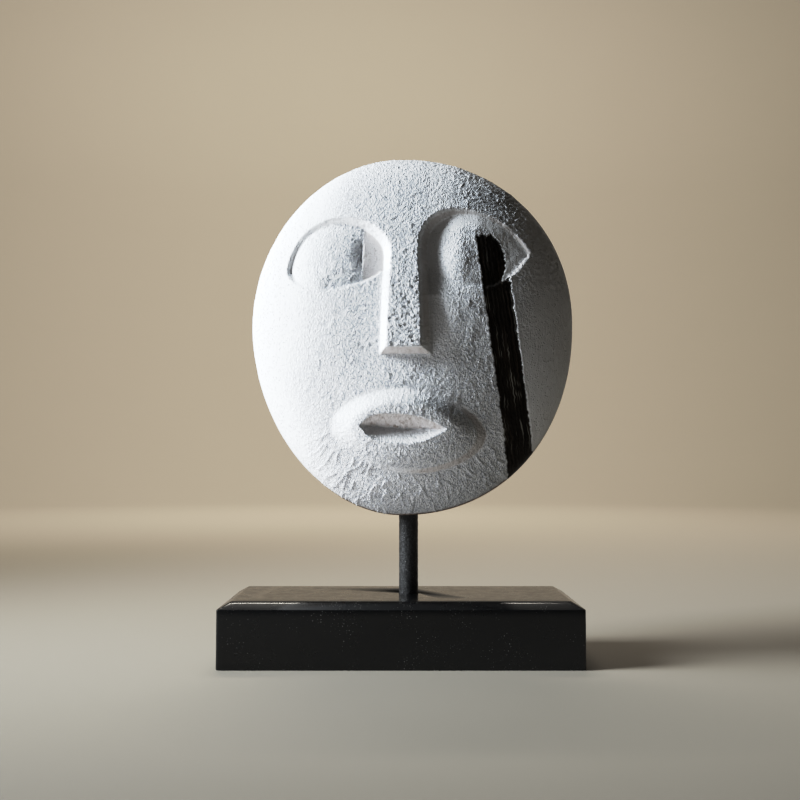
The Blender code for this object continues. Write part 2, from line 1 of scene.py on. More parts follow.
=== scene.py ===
"""The looks of a carved and painted face mask on its rod and block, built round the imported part."""

import math

import bmesh
import bpy
import numpy as np
from bpy.props import FloatProperty, FloatVectorProperty, PointerProperty
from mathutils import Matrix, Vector
from mathutils.geometry import delaunay_2d_cdt


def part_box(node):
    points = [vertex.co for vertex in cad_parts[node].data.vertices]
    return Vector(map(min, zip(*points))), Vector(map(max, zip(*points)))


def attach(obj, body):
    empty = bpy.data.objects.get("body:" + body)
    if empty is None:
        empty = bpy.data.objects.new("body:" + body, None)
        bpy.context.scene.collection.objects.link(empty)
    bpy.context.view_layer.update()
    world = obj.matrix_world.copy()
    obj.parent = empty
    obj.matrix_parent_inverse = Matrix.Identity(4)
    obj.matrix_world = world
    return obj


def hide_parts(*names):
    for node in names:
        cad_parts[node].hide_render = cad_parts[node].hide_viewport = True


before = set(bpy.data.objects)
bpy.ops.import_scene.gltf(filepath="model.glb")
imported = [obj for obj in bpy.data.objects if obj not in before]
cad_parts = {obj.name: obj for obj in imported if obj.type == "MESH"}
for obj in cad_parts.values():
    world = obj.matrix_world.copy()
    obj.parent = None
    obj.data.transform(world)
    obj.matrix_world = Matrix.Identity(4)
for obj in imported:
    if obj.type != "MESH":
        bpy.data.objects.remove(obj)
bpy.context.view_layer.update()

bl_info = {
    "name": "Carved Mask on a Stand",
    "version": (1, 0, 0),
    "blender": (4, 5, 0),
    "location": "3D View > Sidebar > Mask",
    "description": "Makes a carved and painted face mask with its iron rod, wooden block and stage",
    "category": "Add Mesh",
}

MASK_LOW, MASK_HIGH = (np.array(c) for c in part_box("mask"))
ROD_LOW, ROD_HIGH = (np.array(c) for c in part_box("rod"))
BLOCK_LOW, BLOCK_HIGH = (np.array(c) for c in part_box("base_block"))

BLOCK_SIZE = BLOCK_HIGH - BLOCK_LOW
BLOCK_MIDDLE = (BLOCK_LOW + BLOCK_HIGH) / 2
ROD_MIDDLE = (ROD_LOW + ROD_HIGH) / 2
ROD_RADIUS = (ROD_HIGH[0] - ROD_LOW[0]) / 2

MM = 0.001

# The mask, as its solid has it. Places on the face are given on a flat map, where x runs from
# -1 to 1 across the mask and z from -1 at the chin to 1 at the crown
MASK_WIDTH = 0.2315
MASK_HEIGHT = MASK_HIGH[2] - MASK_LOW[2]
MASK_RISE = 0.057
MASK_SIDE = 0.027
MASK_WALL = 0.016
RIM_WIDTH = 0.014
BACK_EDGE_RADIUS = 0.003
CHIN_COVER = 0.015
ROD_IN_MASK = 0.030
FIT_GAP = 0.0003
MASK_TURN = math.radians(5.0)
MASK_ASIDE = 0.0015
WIDEST_LINE_AHEAD = 0.012
OUTLINE_X = -0.066
OUTLINE_Z = 0.058
SQUARENESS = {(-1, 1): 1.97, (1, 1): 2.07, (-1, -1): 1.91, (1, -1): 2.14}
BACK_NARROWING = 0.040

# The nose, a flat-fronted wedge that widens and rises to its tip
NOSE_X = 0.004
NOSE_TOP = 0.438
NOSE_TIP = -0.114
NOSE_HALF_TOP = 0.079
NOSE_HALF_TIP = 0.100
NOSE_RISE = 0.165
NOSE_SIDE_RUN = 0.056
NOSE_UNDER_RUN = 0.036

# The eyes, from their outer corners: each brow and lid is a curve with two handles
RIGHT_CORNER = (0.742, 0.407)
LEFT_CORNER = (-0.726, 0.322)
RIGHT_BROW = (RIGHT_CORNER, (0.505, 0.745), (NOSE_HALF_TOP, 0.699), (NOSE_HALF_TOP, NOSE_TOP))
LEFT_BROW = (LEFT_CORNER, (-0.664, 0.740), (-NOSE_HALF_TOP, 0.643), (-NOSE_HALF_TOP, 0.382))
RIGHT_LID = (RIGHT_CORNER, (0.483, -0.015), (0.150, 0.351), (0.139, 0.305))
LEFT_LID = (LEFT_CORNER, (-0.622, 0.102), (-0.198, 0.224), (-0.144, 0.289))
BROW_RUN_OUTER = 0.022
LID_RUN = 0.020
LID_DEPTH = 0.020
RIGHT_SOCKET_DEPTH = 0.155
RIGHT_SOCKET_Z = (0.060, 0.330)
RIGHT_FLUSH_X = 0.450
RIGHT_FLUSH_Z = (0.420, 0.540)
RIGHT_LID_SHOWS = (0.280, 0.400)
RIGHT_OUTER_DEPTH = 0.030
RIGHT_CORNER_DEPTH = 0.012
LEFT_SOCKET_DEPTH = 0.195
LEFT_BALL_DROP = 0.100
LEFT_OUTER_DEPTH = 0.055
LEFT_EDGE_DEPTH = 0.045
RIGHT_BALL = (0.382, 0.344)
RIGHT_BALL_HALF = (0.208, 0.201)
BALL_POINTEDNESS = 1.9
LEFT_CREST_X = -0.500
LEFT_LID_LOST_X = (-0.700, -0.640, -0.520, -0.440)
LEFT_LID_LOST_Z = (0.250, 0.320)
LEFT_RIDGE_X = -0.263
LEFT_MIDDLE_Z = 0.344
LEFT_HALF_HEIGHT = 0.201
RIDGE_GROOVE_DEPTH = 0.048
RIDGE_GROOVE_RUN = 0.072
RIDGE_GROOVE_SHARP_RUN = 0.014
RIDGE_GROOVE_Z = 0.395
RIDGE_GROOVE_HALF = 0.095

# The cheeks, the lips and the mouth
CHEEK_DEPTH = 0.045
CHEEK_REACH = (0.450, 0.300)
CHEEK_LOWER_END = -0.340
CHEEK_FULL_FROM = -0.110
LIPS_CENTRE = (0.006, -0.542)
LIPS_HALF = (0.462, 0.224)
LIPS_TILT = -0.055
LIPS_SQUARENESS = 1.80
LIPS_EDGE_RUN = 0.400
LIPS_EDGE_RISE = 0.150
LIPS_CROWN_RISE = 0.055
LIPS_STEEP_SIDE = (0.640, -0.770)
MOUTH_CENTRE = (-0.008, -0.526)
MOUTH_HALF_WIDTH = 0.252
MOUTH_BLUNTNESS = 4.2
MOUTH_UPPER = 0.070
MOUTH_LOWER = 0.083
MOUTH_TILT = -0.040
MOUTH_DEPTH = 0.250

# The stripe: its borders wander a little, its top end is ragged, and its reeds differ
STRIPE_START = (0.413, 0.510)
STRIPE_LEAN = -0.147
STRIPE_WIDTH = 0.166
STRIPE_DEPTH = 0.020
STRIPE_EDGE_RUN = 0.012
STRIPE_WANDER = 0.006
STRIPE_RAGGED = 0.030
STRIPE_TEETH = 0.006
REED_COUNT = 8
REED_HEIGHT = 0.014

# The coat of paint: the height of the lips along the stripe and round the right eye's corner,
# how wide they are, and where on the brow and the lid the corner's lip starts
STRIPE_LIP_HEIGHT = 0.38 * MM
STRIPE_LIP_WIDTH = 0.75
CORNER_LIP_HEIGHT = 0.45 * MM
CORNER_LIP_WIDTH = 0.70
CORNER_LIP_FROM = 0.520
LID_LIP_FROM = 0.350

# The strokes that fan out round the mouth: the middle of the fan, and the distance from it at
# which lengths round it are true
FAN_HUB = (0.0, -0.30)
FAN_RADIUS = 0.055

# How far the paint is brushed out smooth, by place
SMOOTHNESS = {
    "on the walls": 0.97,
    "beside the nose": 0.60,
    "in the socket": 1.00,
    "beside the ball": 0.85,
    "below the lips": 0.80,
    "on the lips": 0.60,
    "in the mouth": 0.75,
}

# How far the brown wood shows through the paint, by place, and where brown is painted in as shade
BARE_WOOD_AND_SHADE = {
    # Under the nose and the brow: thin paint, darkened further as painted shade
    "under the nose": 0.52,
    "under the brow": 0.35,
    "below the lips": 0.55,
    "on the rim": 0.90,
    # Beside the ball, in the mouth and at the corner: brown painted in as shade
    "beside the ball": 0.46,
    "in the mouth": 0.54,
    "at the corner": 0.44,
}

# The edges of the carving: how far they wander, over what length, and how much more at the
# right eye's corner
RAGGED_EDGES = 0.00038
RAGGED_WAVE = 0.0021
CORNER_RAGGEDNESS = 1.8

# The side, in millimetres: how far back the paint runs, how much less it does below the chin,
# and how far the wood is worn in
PAINT_RUN = 15.0
PAINT_RUN_LESS = 10.0
SIDE_WORN = 0.20

# How fine the mesh is, in metres
FINE_STEP = 0.00084
SIDE_STEP = 0.0028
REED_LINES = 40
REED_STEP = 0.0013
HOLLOW_RINGS = 18
MAP_TABLE = 2000

# The rod and the block
ROD_SIDES = 72
ROD_STEP = 0.0008
ROD_CHAMFER = 0.0006
BLOCK_CORNER = 0.0018
BLOCK_POINTS = (60, 24)
BLOCK_WOBBLE = 0.00008

# The small pale marks in the dark finishes
# The stripe's pale strands are rubbed wood, made pale enough to stand in for the reeds' highlights as
# well
PALE_STRANDS_AND_HIGHLIGHTS = (0.27, 0.26, 0.225)
PALE_SPECKS = (0.45, 0.44, 0.42)
PALE_GRIT = (0.40, 0.40, 0.38)

# The floor, which curves up into a wall
FLOOR_RADIUS = 2.6
FLOOR_BEND = 1.4
WALL_HEIGHT = 4.0

# Each light: its place, the point that it is aimed at, its width and height, and its colour
WINDOW = ((-1.41, -0.32, 0.87), (0.0, 0.0, 0.22), (0.64, 0.80), (0.90, 0.96, 1.0))
WINDOW_SPREAD = 60.0
TABLE_BOUNCE = ((-0.20, -0.20, 0.012), (-0.20, -0.20, 1.0), (0.30, 0.20), (0.96, 0.97, 1.0))
WALL_WASH = ((-0.16, 1.2, 2.4), (-0.16, 3.6, 0.7), (1.2, 1.2), (1.0, 0.95, 0.87))
FILL_COLOUR = (1.0, 0.88, 0.76, 1.0)

# The camera
CAMERA_PLACE = (-0.0007, -0.724, 0.1405)
CAMERA_TILT = math.radians(93.55)
CAMERA_LENS = 44.46
SENSOR_WIDTH = 36.0

# How bright each part of the picture is shown, up to the brightest that is told apart
BRIGHTEST = 2.0
BRIGHTEST_SHOWN = 0.970
CONTRAST = (
    (0.02, 0.012),
    (0.10, 0.062),
    (0.20, 0.148),
    (0.35, 0.325),
    (0.50, 0.505),
    (0.65, 0.645),
    (0.80, 0.715),
    (1.00, 0.785),
    (1.30, 0.860),
    (1.60, 0.915),
)

CENTRE = np.array([OUTLINE_X, OUTLINE_Z])
HALF_SIZE = np.array([MASK_WIDTH, MASK_HEIGHT]) / 2
STRETCH = np.array([1.0, HALF_SIZE[1] / HALF_SIZE[0]])
CHIN_Z = MASK_LOW[2]


def share(value, start, end):
    """How far value has got from start to end, held between 0 and 1."""
    return np.clip((value - start) / (end - start), 0.0, 1.0)


def ease(value, start, end):
    """As share, but setting off and arriving smoothly."""
    t = share(value, start, end)
    return t * t * (3 - 2 * t)


def ripple(x, y, seed):
    """Smooth random waves between about -1 and 1, one to each unit of x and y."""
    rng = np.random.default_rng(seed)
    order = rng.permutation(256)
    turn = rng.uniform(0, 2 * math.pi, 256)
    x0, y0 = np.floor(x).astype(int), np.floor(y).astype(int)
    fx, fy = x - x0, y - y0

    def corner(dx, dy):
        angle = turn[order[(x0 + dx + order[(y0 + dy) % 256]) % 256]]
        return np.cos(angle) * (fx - dx) + np.sin(angle) * (fy - dy)

    sx = fx**3 * (fx * (6 * fx - 15) + 10)
    sy = fy**3 * (fy * (6 * fy - 15) + 10)
    low = corner(0, 0) + sx * (corner(1, 0) - corner(0, 0))
    high = corner(0, 1) + sx * (corner(1, 1) - corner(0, 1))
    return 1.4 * (low + sy * (high - low))


def strings(across, along, seed, thickness=0.22):
    """Rounded strings of paint that wind along one direction: 1 on a string and 0 between."""
    n = ripple(across, along, seed)
    return np.exp(-((n / thickness) ** 2))


def curve_points(handles, count):
    """Points along a cubic curve from its first handle to its last."""
    a, b, c, d = (np.array(h) for h in handles)
    t = np.linspace(0, 1, count)[:, None]
    return (1 - t) ** 3 * a + 3 * (1 - t) ** 2 * t * b + 3 * (1 - t) * t**2 * c + t**3 * d


def straight_points(start, end, count):
    """Points along a straight line, both ends included."""
    t = np.linspace(0, 1, count)[:, None]
    return (1 - t) * np.array(start) + t * np.array(end)


def distance_to(points, line):
    """The distance from each point to a line of many points, measured in half widths."""
    p = points * STRETCH
    nearest = np.full(len(p), np.inf)
    for start, end in zip(line[:-1] * STRETCH, line[1:] * STRETCH):
        along = end - start
        t = np.clip((p - start) @ along / (along @ along), 0.0, 1.0)
        gap = p - start - t[:, None] * along
        nearest = np.minimum(nearest, (gap * gap).sum(axis=1))
    return np.sqrt(nearest)


def inside(points, loop):
    """Which points lie inside a closed loop."""
    x, z = points[:, 0], points[:, 1]
    found = np.zeros(len(points), bool)
    for (x0, z0), (x1, z1) in zip(loop, np.roll(loop, -1, axis=0)):
        crosses = (z0 > z) != (z1 > z)
        rise = z1 - z0 if z1 != z0 else 1.0
        found ^= crosses & (x < x0 + (z - z0) / rise * (x1 - x0))
    return found


def quarter(points):
    """Each point's quarter of the outline: its half sizes and its exponent."""
    to_right = points[:, 0] >= OUTLINE_X
    above = points[:, 1] >= OUTLINE_Z
    half_x = np.where(to_right, 1 - OUTLINE_X, 1 + OUTLINE_X)
    half_z = np.where(above, 1 - OUTLINE_Z, 1 + OUTLINE_Z)
    right = np.where(above, SQUARENESS[(1, 1)], SQUARENESS[(1, -1)])
    left = np.where(above, SQUARENESS[(-1, 1)], SQUARENESS[(-1, -1)])
    return half_x, half_z, np.where(to_right, right, left)


def rim_share(points):
    """0 at the outline's middle and 1 on the outline."""
    half_x, half_z, n = quarter(points)
    dx = np.abs(points[:, 0] - OUTLINE_X) / half_x
    dz = np.abs(points[:, 1] - OUTLINE_Z) / half_z
    return (dx**n + dz**n) ** (1 / n)


def swell_lengths():
    """Shares of the way out from the middle, and how far along the swelling face each lies."""
    slope = np.linspace(0, math.pi / 2, MAP_TABLE)
    out = np.sin(slope)
    rise = MASK_RISE / HALF_SIZE[0] * np.cos(slope)
    along = np.concatenate([[0], np.cumsum(np.hypot(np.diff(out), np.diff(rise)))])
    return out, along / along[-1]


SWELL_OUT, SWELL_ALONG = swell_lengths()


def flatten(points):
    """Spreads the face's steep edge out, so that equal steps on the map are equal on the wood."""
    rho = np.clip(rim_share(points), 1e-9, 1.0)
    return CENTRE + (points - CENTRE) * (np.interp(rho, SWELL_OUT, SWELL_ALONG) / rho)[:, None]


def fold_up(points):
    """The opposite of flatten."""
    t = np.clip(rim_share(points), 1e-9, 1.0)
    return CENTRE + (points - CENTRE) * (np.interp(t, SWELL_ALONG, SWELL_OUT) / t)[:, None]


def outline_points(count):
    """Points round the widest line, anticlockwise from the right."""
    angle = np.arange(count) * 2 * math.pi / count
    direction = np.stack([np.cos(angle), np.sin(angle)], axis=1)
    reach = np.array(quarter(CENTRE + direction * 1e-6)[:2]).T
    start = CENTRE + direction * reach
    return CENTRE + direction * reach / rim_share(start)[:, None]


def nose_half_width(z):
    """Half the width of the nose's flat front at height z."""
    return NOSE_HALF_TOP + (NOSE_HALF_TIP - NOSE_HALF_TOP) * share(z, NOSE_TOP, NOSE_TIP)


def brow_and_nose_edge(brow, side, count=50):
    """The edge of the forehead from the outer eye corner, over the eye and down the nose."""
    arc = curve_points(brow, count)
    tip = (NOSE_X + side * NOSE_HALF_TIP, NOSE_TIP)
    return np.vstack([arc, straight_points(arc[-1], tip, count // 3)[1:]])


def forehead_loop():
    """The forehead and the nose's front as one area, with the nose run on below its tip."""
    right = brow_and_nose_edge(RIGHT_BROW, 1)
    left = brow_and_nose_edge(LEFT_BROW, -1)
    far = 2.0
    return np.vstack(
        [
            [(far, RIGHT_BROW[0][1])],
            right,
            [(right[-1][0], -far), (left[-1][0], -far)],
            left[::-1],
            [(-far, LEFT_BROW[0][1]), (-far, far), (far, far)],
        ]
    )


def wall_run(x):
    """How wide the sloping wall under the brow is, from the nose's side out to the eye corner."""
    outer = ease(np.abs(x), NOSE_HALF_TOP, abs(RIGHT_CORNER[0]))
    return NOSE_SIDE_RUN + (BROW_RUN_OUTER - NOSE_SIDE_RUN) * outer


def below_brow(points):
    """0 on the forehead and the nose's front, 1 at the foot of the wall round them."""
    loop = forehead_loop()
    outside = ~inside(points, loop)
    gap = distance_to(points, np.vstack([loop, loop[:1]]))
    sides = np.where(outside, np.clip(gap / wall_run(points[:, 0]), 0, 1), 0.0)
    under = share(points[:, 1], NOSE_TIP, NOSE_TIP - NOSE_UNDER_RUN)
    return np.maximum(sides, under)


def lid_line(brow, lid, count=40):
    """The lower lid from the outer corner in, and on to the nose's edge."""
    at_nose = (brow[3][0], lid[3][1])
    return np.vstack([curve_points(lid, count), [at_nose]])


def in_eye(points, brow, lid):
    """0 outside the lid, and 1 past the small wall inside it."""
    line = lid_line(brow, lid)
    above_lid = inside(points, np.vstack([curve_points(brow, 50), line[::-1]]))
    return np.where(above_lid, np.clip(distance_to(points, line) / LID_RUN, 0, 1), 0.0)


def cheek_depth(points):
    """How far the cheeks are hollowed, in rises of the mask. The right eye's socket runs into one."""
    x = np.abs(points[:, 0] - NOSE_X)
    reach = np.where(points[:, 0] < NOSE_X, *CHEEK_REACH)
    beside = 1 - ease(x, NOSE_HALF_TIP + NOSE_SIDE_RUN, reach)
    cheek = CHEEK_DEPTH * beside * ease(points[:, 1], CHEEK_LOWER_END, CHEEK_FULL_FROM)
    socket = 1 - ease(np.where(points[:, 0] > 0, points[:, 0], 1.0), NOSE_HALF_TOP, RIGHT_FLUSH_X)
    return np.maximum(cheek, RIGHT_SOCKET_DEPTH * socket * ease(points[:, 1], *RIGHT_SOCKET_Z))


def ball_share(points):
    """0 at the middle of the right eyeball and 1 at its edge."""
    return np.linalg.norm((points - np.array(RIGHT_BALL)) / np.array(RIGHT_BALL_HALF), axis=1)


def right_eye_depth(points):
    """A round ball in a socket that is deep by the nose and comes up nearly flush above the ball."""
    x, z = points[:, 0], points[:, 1]
    ball_edge = RIGHT_BALL[0] + RIGHT_BALL_HALF[0]
    outer = RIGHT_OUTER_DEPTH * share(x, RIGHT_BALL[0], ball_edge)
    outer += (RIGHT_CORNER_DEPTH - RIGHT_OUTER_DEPTH) * share(x, ball_edge, RIGHT_CORNER[0])
    flush = ease(z, *RIGHT_FLUSH_Z)
    bulge = np.clip(1 - ball_share(points) ** 2, 0, 1) ** BALL_POINTEDNESS
    lid = LID_DEPTH * ease(x, *RIGHT_LID_SHOWS)
    return (cheek_depth(points) + outer * (1 - flush)) * (1 - bulge) + lid


def left_eye_depth(points):
    """A ball that turns away from its crest to a ridge, and a flat flank from there to the nose."""
    x, z = points[:, 0], points[:, 1]
    foot = -NOSE_HALF_TOP - NOSE_SIDE_RUN
    inward = LEFT_BALL_DROP * share(x, LEFT_CREST_X, LEFT_RIDGE_X) ** 2
    inward += (LEFT_SOCKET_DEPTH - LEFT_BALL_DROP) * share(x, LEFT_RIDGE_X, foot)
    outward = LEFT_OUTER_DEPTH * share(x, LEFT_CREST_X, LEFT_CORNER[0]) ** 2
    upright = (z - LEFT_MIDDLE_Z) / LEFT_HALF_HEIGHT
    across = share(x, LEFT_CORNER[0], foot)
    edge = LEFT_EDGE_DEPTH * np.clip(upright**2, 0, 1) * 4 * across * (1 - across)
    tall = np.clip(1 - ((z - RIDGE_GROOVE_Z) / RIDGE_GROOVE_HALF) ** 2, 1e-6, 1)
    groove = share(x, LEFT_RIDGE_X - RIDGE_GROOVE_RUN * np.sqrt(tall), LEFT_RIDGE_X) ** 2
    groove *= share(x, LEFT_RIDGE_X + RIDGE_GROOVE_SHARP_RUN, LEFT_RIDGE_X) * tall
    lost = ease(x, *LEFT_LID_LOST_X[:2]) * (1 - ease(x, *LEFT_LID_LOST_X[2:]))
    lost *= 1 - ease(z, *LEFT_LID_LOST_Z)
    return inward + outward + (edge + LID_DEPTH) * (1 - lost) + RIDGE_GROOVE_DEPTH * groove


def lips_share(points):
    """0 at the middle of the lips and 1 on their outline."""
    x = points[:, 0] - LIPS_CENTRE[0]
    z = points[:, 1] - LIPS_CENTRE[1] - LIPS_TILT * x
    n = LIPS_SQUARENESS
    return (np.abs(x / LIPS_HALF[0]) ** n + np.abs(z / LIPS_HALF[1]) ** n) ** (1 / n)


def lips_rise(points):
    """How far the lips stand out, in rises of the mask: steeply at the lower right, else softly."""
    s = lips_share(points)
    across = (points - np.array(LIPS_CENTRE)) / np.array(LIPS_HALF)
    steep = share(across @ np.array(LIPS_STEEP_SIDE), 0, 1)
    t = share(s, 1, 1 - LIPS_EDGE_RUN)
    edge = LIPS_EDGE_RISE * (t * t * (3 - 2 * t) * (1 - steep) + t * (2 - t) * steep)
    return edge + LIPS_CROWN_RISE * np.clip(1 - s * s, 0, 1)


def mouth_open(x):
    """How far open the mouth is, from 0 at its corners to 1: the left end is blunter."""
    u = (x - MOUTH_CENTRE[0]) / MOUTH_HALF_WIDTH
    return np.clip(1 - np.abs(u) ** np.where(u < 0, MOUTH_BLUNTNESS, 2.0), 0, 1)


def mouth_place(points):
    """How far inside the opening each point is, and whether it is on the upper slope."""
    x = points[:, 0] - MOUTH_CENTRE[0]
    z = points[:, 1] - MOUTH_CENTRE[1] - MOUTH_TILT * x
    half = np.where(z > 0, MOUTH_UPPER, MOUTH_LOWER) * mouth_open(points[:, 0])
    return np.clip(half - np.abs(z), 0, None) / MOUTH_LOWER, z > 0


def stripe_left(z):
    """Where the stripe's left border lies at height z, and how far it wanders from there."""
    left = STRIPE_START[0] + STRIPE_LEAN * (z - STRIPE_START[1])
    return left, STRIPE_WANDER * ripple(z * 9.0, z * 0 + 0.5, 21)


def stripe_across(points):
    """How far across the stripe each point is: 0 at its left border and 1 at its right."""
    left, wander = stripe_left(points[:, 1])
    teeth = STRIPE_TEETH * ripple(points[:, 1] * 42.0, points[:, 0] * 12.0, 27)
    return (points[:, 0] - left - wander - teeth) / STRIPE_WIDTH


def stripe_top(across):
    """The height at which the ragged top end lies."""
    broad = ripple(across * 7.0, across * 0 + 0.3, 22)
    small = ripple(across * 19.0, across * 0 + 0.7, 28)
    return STRIPE_START[1] + STRIPE_RAGGED * (broad + 0.6 * small)


def stripe_share(points):
    """1 on the stripe, 0 off it, with narrow slopes at its borders."""
    across = stripe_across(points)
    run = STRIPE_EDGE_RUN / STRIPE_WIDTH
    band = np.clip(np.minimum(across, 1 - across) / run, 0, 1)
    top = share(points[:, 1], stripe_top(across), stripe_top(across) - STRIPE_EDGE_RUN)
    on_ball = share(ball_share(points), 1, 1 - STRIPE_EDGE_RUN / RIGHT_BALL_HALF[0])
    on_eye = in_eye(points, RIGHT_BROW, RIGHT_LID)
    return band * top * (1 - on_eye * (1 - on_ball))


def reeds(points):
    """The stripe's reeds, from 0 in a valley to 1 on a crest, each with its own height and wobble."""
    across = stripe_across(points)
    z = points[:, 1]
    bend = 0.030 * ripple(across * 2.0, z * 5.0, 23) + 0.018 * ripple(across * 6.0, z * 9.0, 24)
    place = (across + bend) * REED_COUNT
    crest = np.sqrt(np.clip(0.5 - 0.5 * np.cos(place * 2 * math.pi), 0, 1))
    own = 0.72 + 0.28 * ripple(np.floor(place) * 1.37 + 0.4, z * 1.5, 25)
    split = 0.20 * np.abs(ripple(across * REED_COUNT * 3.1, z * 6.0, 26))
    return crest * own - split


def face_parts(points):
    """How far the face stands ahead of the widest line, in metres, and what each place is."""
    dome = np.sqrt(np.clip(1 - rim_share(points) ** 2, 0, 1))
    nose = NOSE_RISE * share(points[:, 1], NOSE_TOP, NOSE_TIP)
    wall = below_brow(points)
    sunk = cheek_depth(points)
    eyes = []
    for eye, brow, lid in (
        (right_eye_depth, RIGHT_BROW, RIGHT_LID),
        (left_eye_depth, LEFT_BROW, LEFT_LID),
    ):
        part = in_eye(points, brow, lid)
        eyes.append(part)
        sunk = sunk * (1 - part) + eye(points) * part
    near_nose = np.abs(points[:, 0] - NOSE_X) < nose_half_width(points[:, 1]) + NOSE_SIDE_RUN
    nose = np.where(near_nose, nose, 0.0)
    mouth, upper = mouth_place(points)
    stripe = stripe_share(points)
    carved = dome + nose * (1 - wall) - sunk * wall + lips_rise(points) - MOUTH_DEPTH * mouth
    carved += stripe * (REED_HEIGHT * reeds(points) - STRIPE_DEPTH)
    parts = {
        "wall": wall,
        "right_eye": eyes[0],
        "left_eye": eyes[1],
        "lips": lips_share(points),
        "mouth": mouth,
        "upper": upper,
        "stripe": stripe,
        "across": stripe_across(points),
    }
    return MASK_RISE * carved, parts


def ragged(points):
    """Each point shifted a little at random, so that the carved edges turn out uneven."""
    x, z = (points * HALF_SIZE / RAGGED_WAVE).T
    near_rim = 1 - ease(rim_share(points), 0.96, 0.99)
    at_corner = ease(points[:, 0], CORNER_LIP_FROM, 0.60) * ease(points[:, 1], 0.15, 0.25)
    reach = RAGGED_EDGES * near_rim * (1 + CORNER_RAGGEDNESS * at_corner)
    shift = np.stack([ripple(x, z, 34), ripple(x, z, 35)], axis=1)
    return points + shift * reach[:, None] / HALF_SIZE


def roughness_map(points, parts):
    """Where the paint is stippled thickly, 1, and where it is brushed out smooth, 0."""
    x, z = points[:, 0], points[:, 1]
    drift = 0.10 * ripple(x * 2.5, z * 2.5, 31)
    left_end = -0.70 + 0.25 * share(z, 0.1, 0.9) + 0.18 * share(z, -0.5, -1.0)
    from_left = ease(x + drift, left_end - 0.10, left_end + 0.24)
    to_right = 1 - ease(x + drift, 0.52, 0.80)
    thick = from_left * to_right * (1 - 0.4 * ease(z, 0.70, 0.92))
    on_wall = ease(parts["wall"], 0.02, 0.10) * (1 - ease(parts["wall"], 0.80, 0.98))
    on_wall *= 1 - ease(x, 0.42, 0.56)
    beside_nose = ease(x, 0.10, 0.16) * (1 - ease(x, 0.20, 0.36)) * ease(z, -0.30, -0.05)
    socket = parts["right_eye"] * ease(ball_share(points), 0.88, 1.10)
    flank = parts["left_eye"] * ease(x, LEFT_RIDGE_X, LEFT_RIDGE_X + 0.03)
    lip_wall = ease(parts["lips"], 0.86, 0.92) * (1 - ease(parts["lips"], 0.98, 1.03))
    lip_wall *= share(x - z, 0.45, 0.80)
    lip_top = ease(parts["lips"], 0.62, 0.74) * (1 - ease(parts["lips"], 0.96, 1.04))
    lip_top *= share(z - LIPS_CENTRE[1] - 0.5 * (x + 0.1), 0.02, 0.12)
    where = {
        "on the walls": on_wall,
        "beside the nose": beside_nose,
        "in the socket": socket,
        "beside the ball": flank,
        "below the lips": lip_wall,
        "on the lips": lip_top,
        "in the mouth": ease(parts["mouth"], 0.02, 0.12),
    }
    for place, there in where.items():
        thick = thick * (1 - np.clip(SMOOTHNESS[place] * there, 0, 1))
    return thick * (1 - ease(parts["stripe"], 0.0, 0.5))


def fan_place(points):
    """How far round the mouth and how far out from it each point is, in metres."""
    offset = (points - np.array(FAN_HUB)) * HALF_SIZE
    angle = np.arctan2(offset[:, 0], -offset[:, 1])
    return angle * FAN_RADIUS, np.hypot(offset[:, 0], offset[:, 1])


def fan_weight(points, parts):
    """Where the strokes fan out from the mouth: the chin, and round the corners of the lips."""
    z = points[:, 1]
    return ease(parts["lips"], 0.97, 1.06) * (1 - ease(z, -0.62, -0.40))


def sparse(pattern, x, z, wave, seed, start=-0.05, full=0.30):
    """A pattern kept in some patches only."""
    return pattern * ease(ripple(x / wave, z / wave, seed), start, full)


def leaning_strings(x, z, bend, lean, breadth, length, seed, thickness=0.13):
    """Strings of paint that lean over, so many millimetres apart and so long."""
    return strings((x + lean * z + bend) / breadth, (z - lean * x) / length, seed, thickness)


def stippled_coat(x, z, bend, grain):
    """The coat over most of the face: ridges in three directions, and grain, all in patches."""
    one_way = leaning_strings(x, z, bend, 0.45, 5.2, 7.0, 42)
    other_way = leaning_strings(x, z, bend, -0.55, 5.6, 7.5, 43)
    level = leaning_strings(z, x, bend, -0.15, 5.8, 7.0, 55)
    ridges = np.maximum(sparse(one_way, x, z, 9, 44, 0.2, 0.5), sparse(other_way, x, z, 8, 53, 0.2, 0.5))
    ridges = np.maximum(ridges, 0.8 * sparse(level, x, z, 10, 56, 0.2, 0.5))
    patch = 0.45 + 0.55 * ease(ripple(x / 12, z / 12, 58), -0.35, 0.35)
    return 0.48 * ridges + 0.38 * patch * grain


def fanned_coat(points, x, z, grain):
    """The coat round the mouth: strokes that fan out from it."""
    round_mouth, out = fan_place(points)
    across = round_mouth / MM + 1.6 * ripple(x / 11, z / 11, 46)
    strokes = sparse(strings(across / 4.6, out / MM / 19.0, 47, 0.11), x, z, 9, 59, -0.30, 0.05)
    return 0.85 * strokes + 0.24 * grain


def nose_coat(x, z, bend, grain):
    """The coat on the nose's front: coarse lumps with pits between them."""
    lumps = sparse(leaning_strings(z, x, bend, 0.25, 3.6, 5.5, 48, 0.24), x, z, 8, 61, -0.5, 0.1)
    pits = ease(ripple(x / 2.6, z / 1.9, 60), 0.12, 0.55)
    return 0.44 * lumps - 0.55 * pits + 0.34 * grain


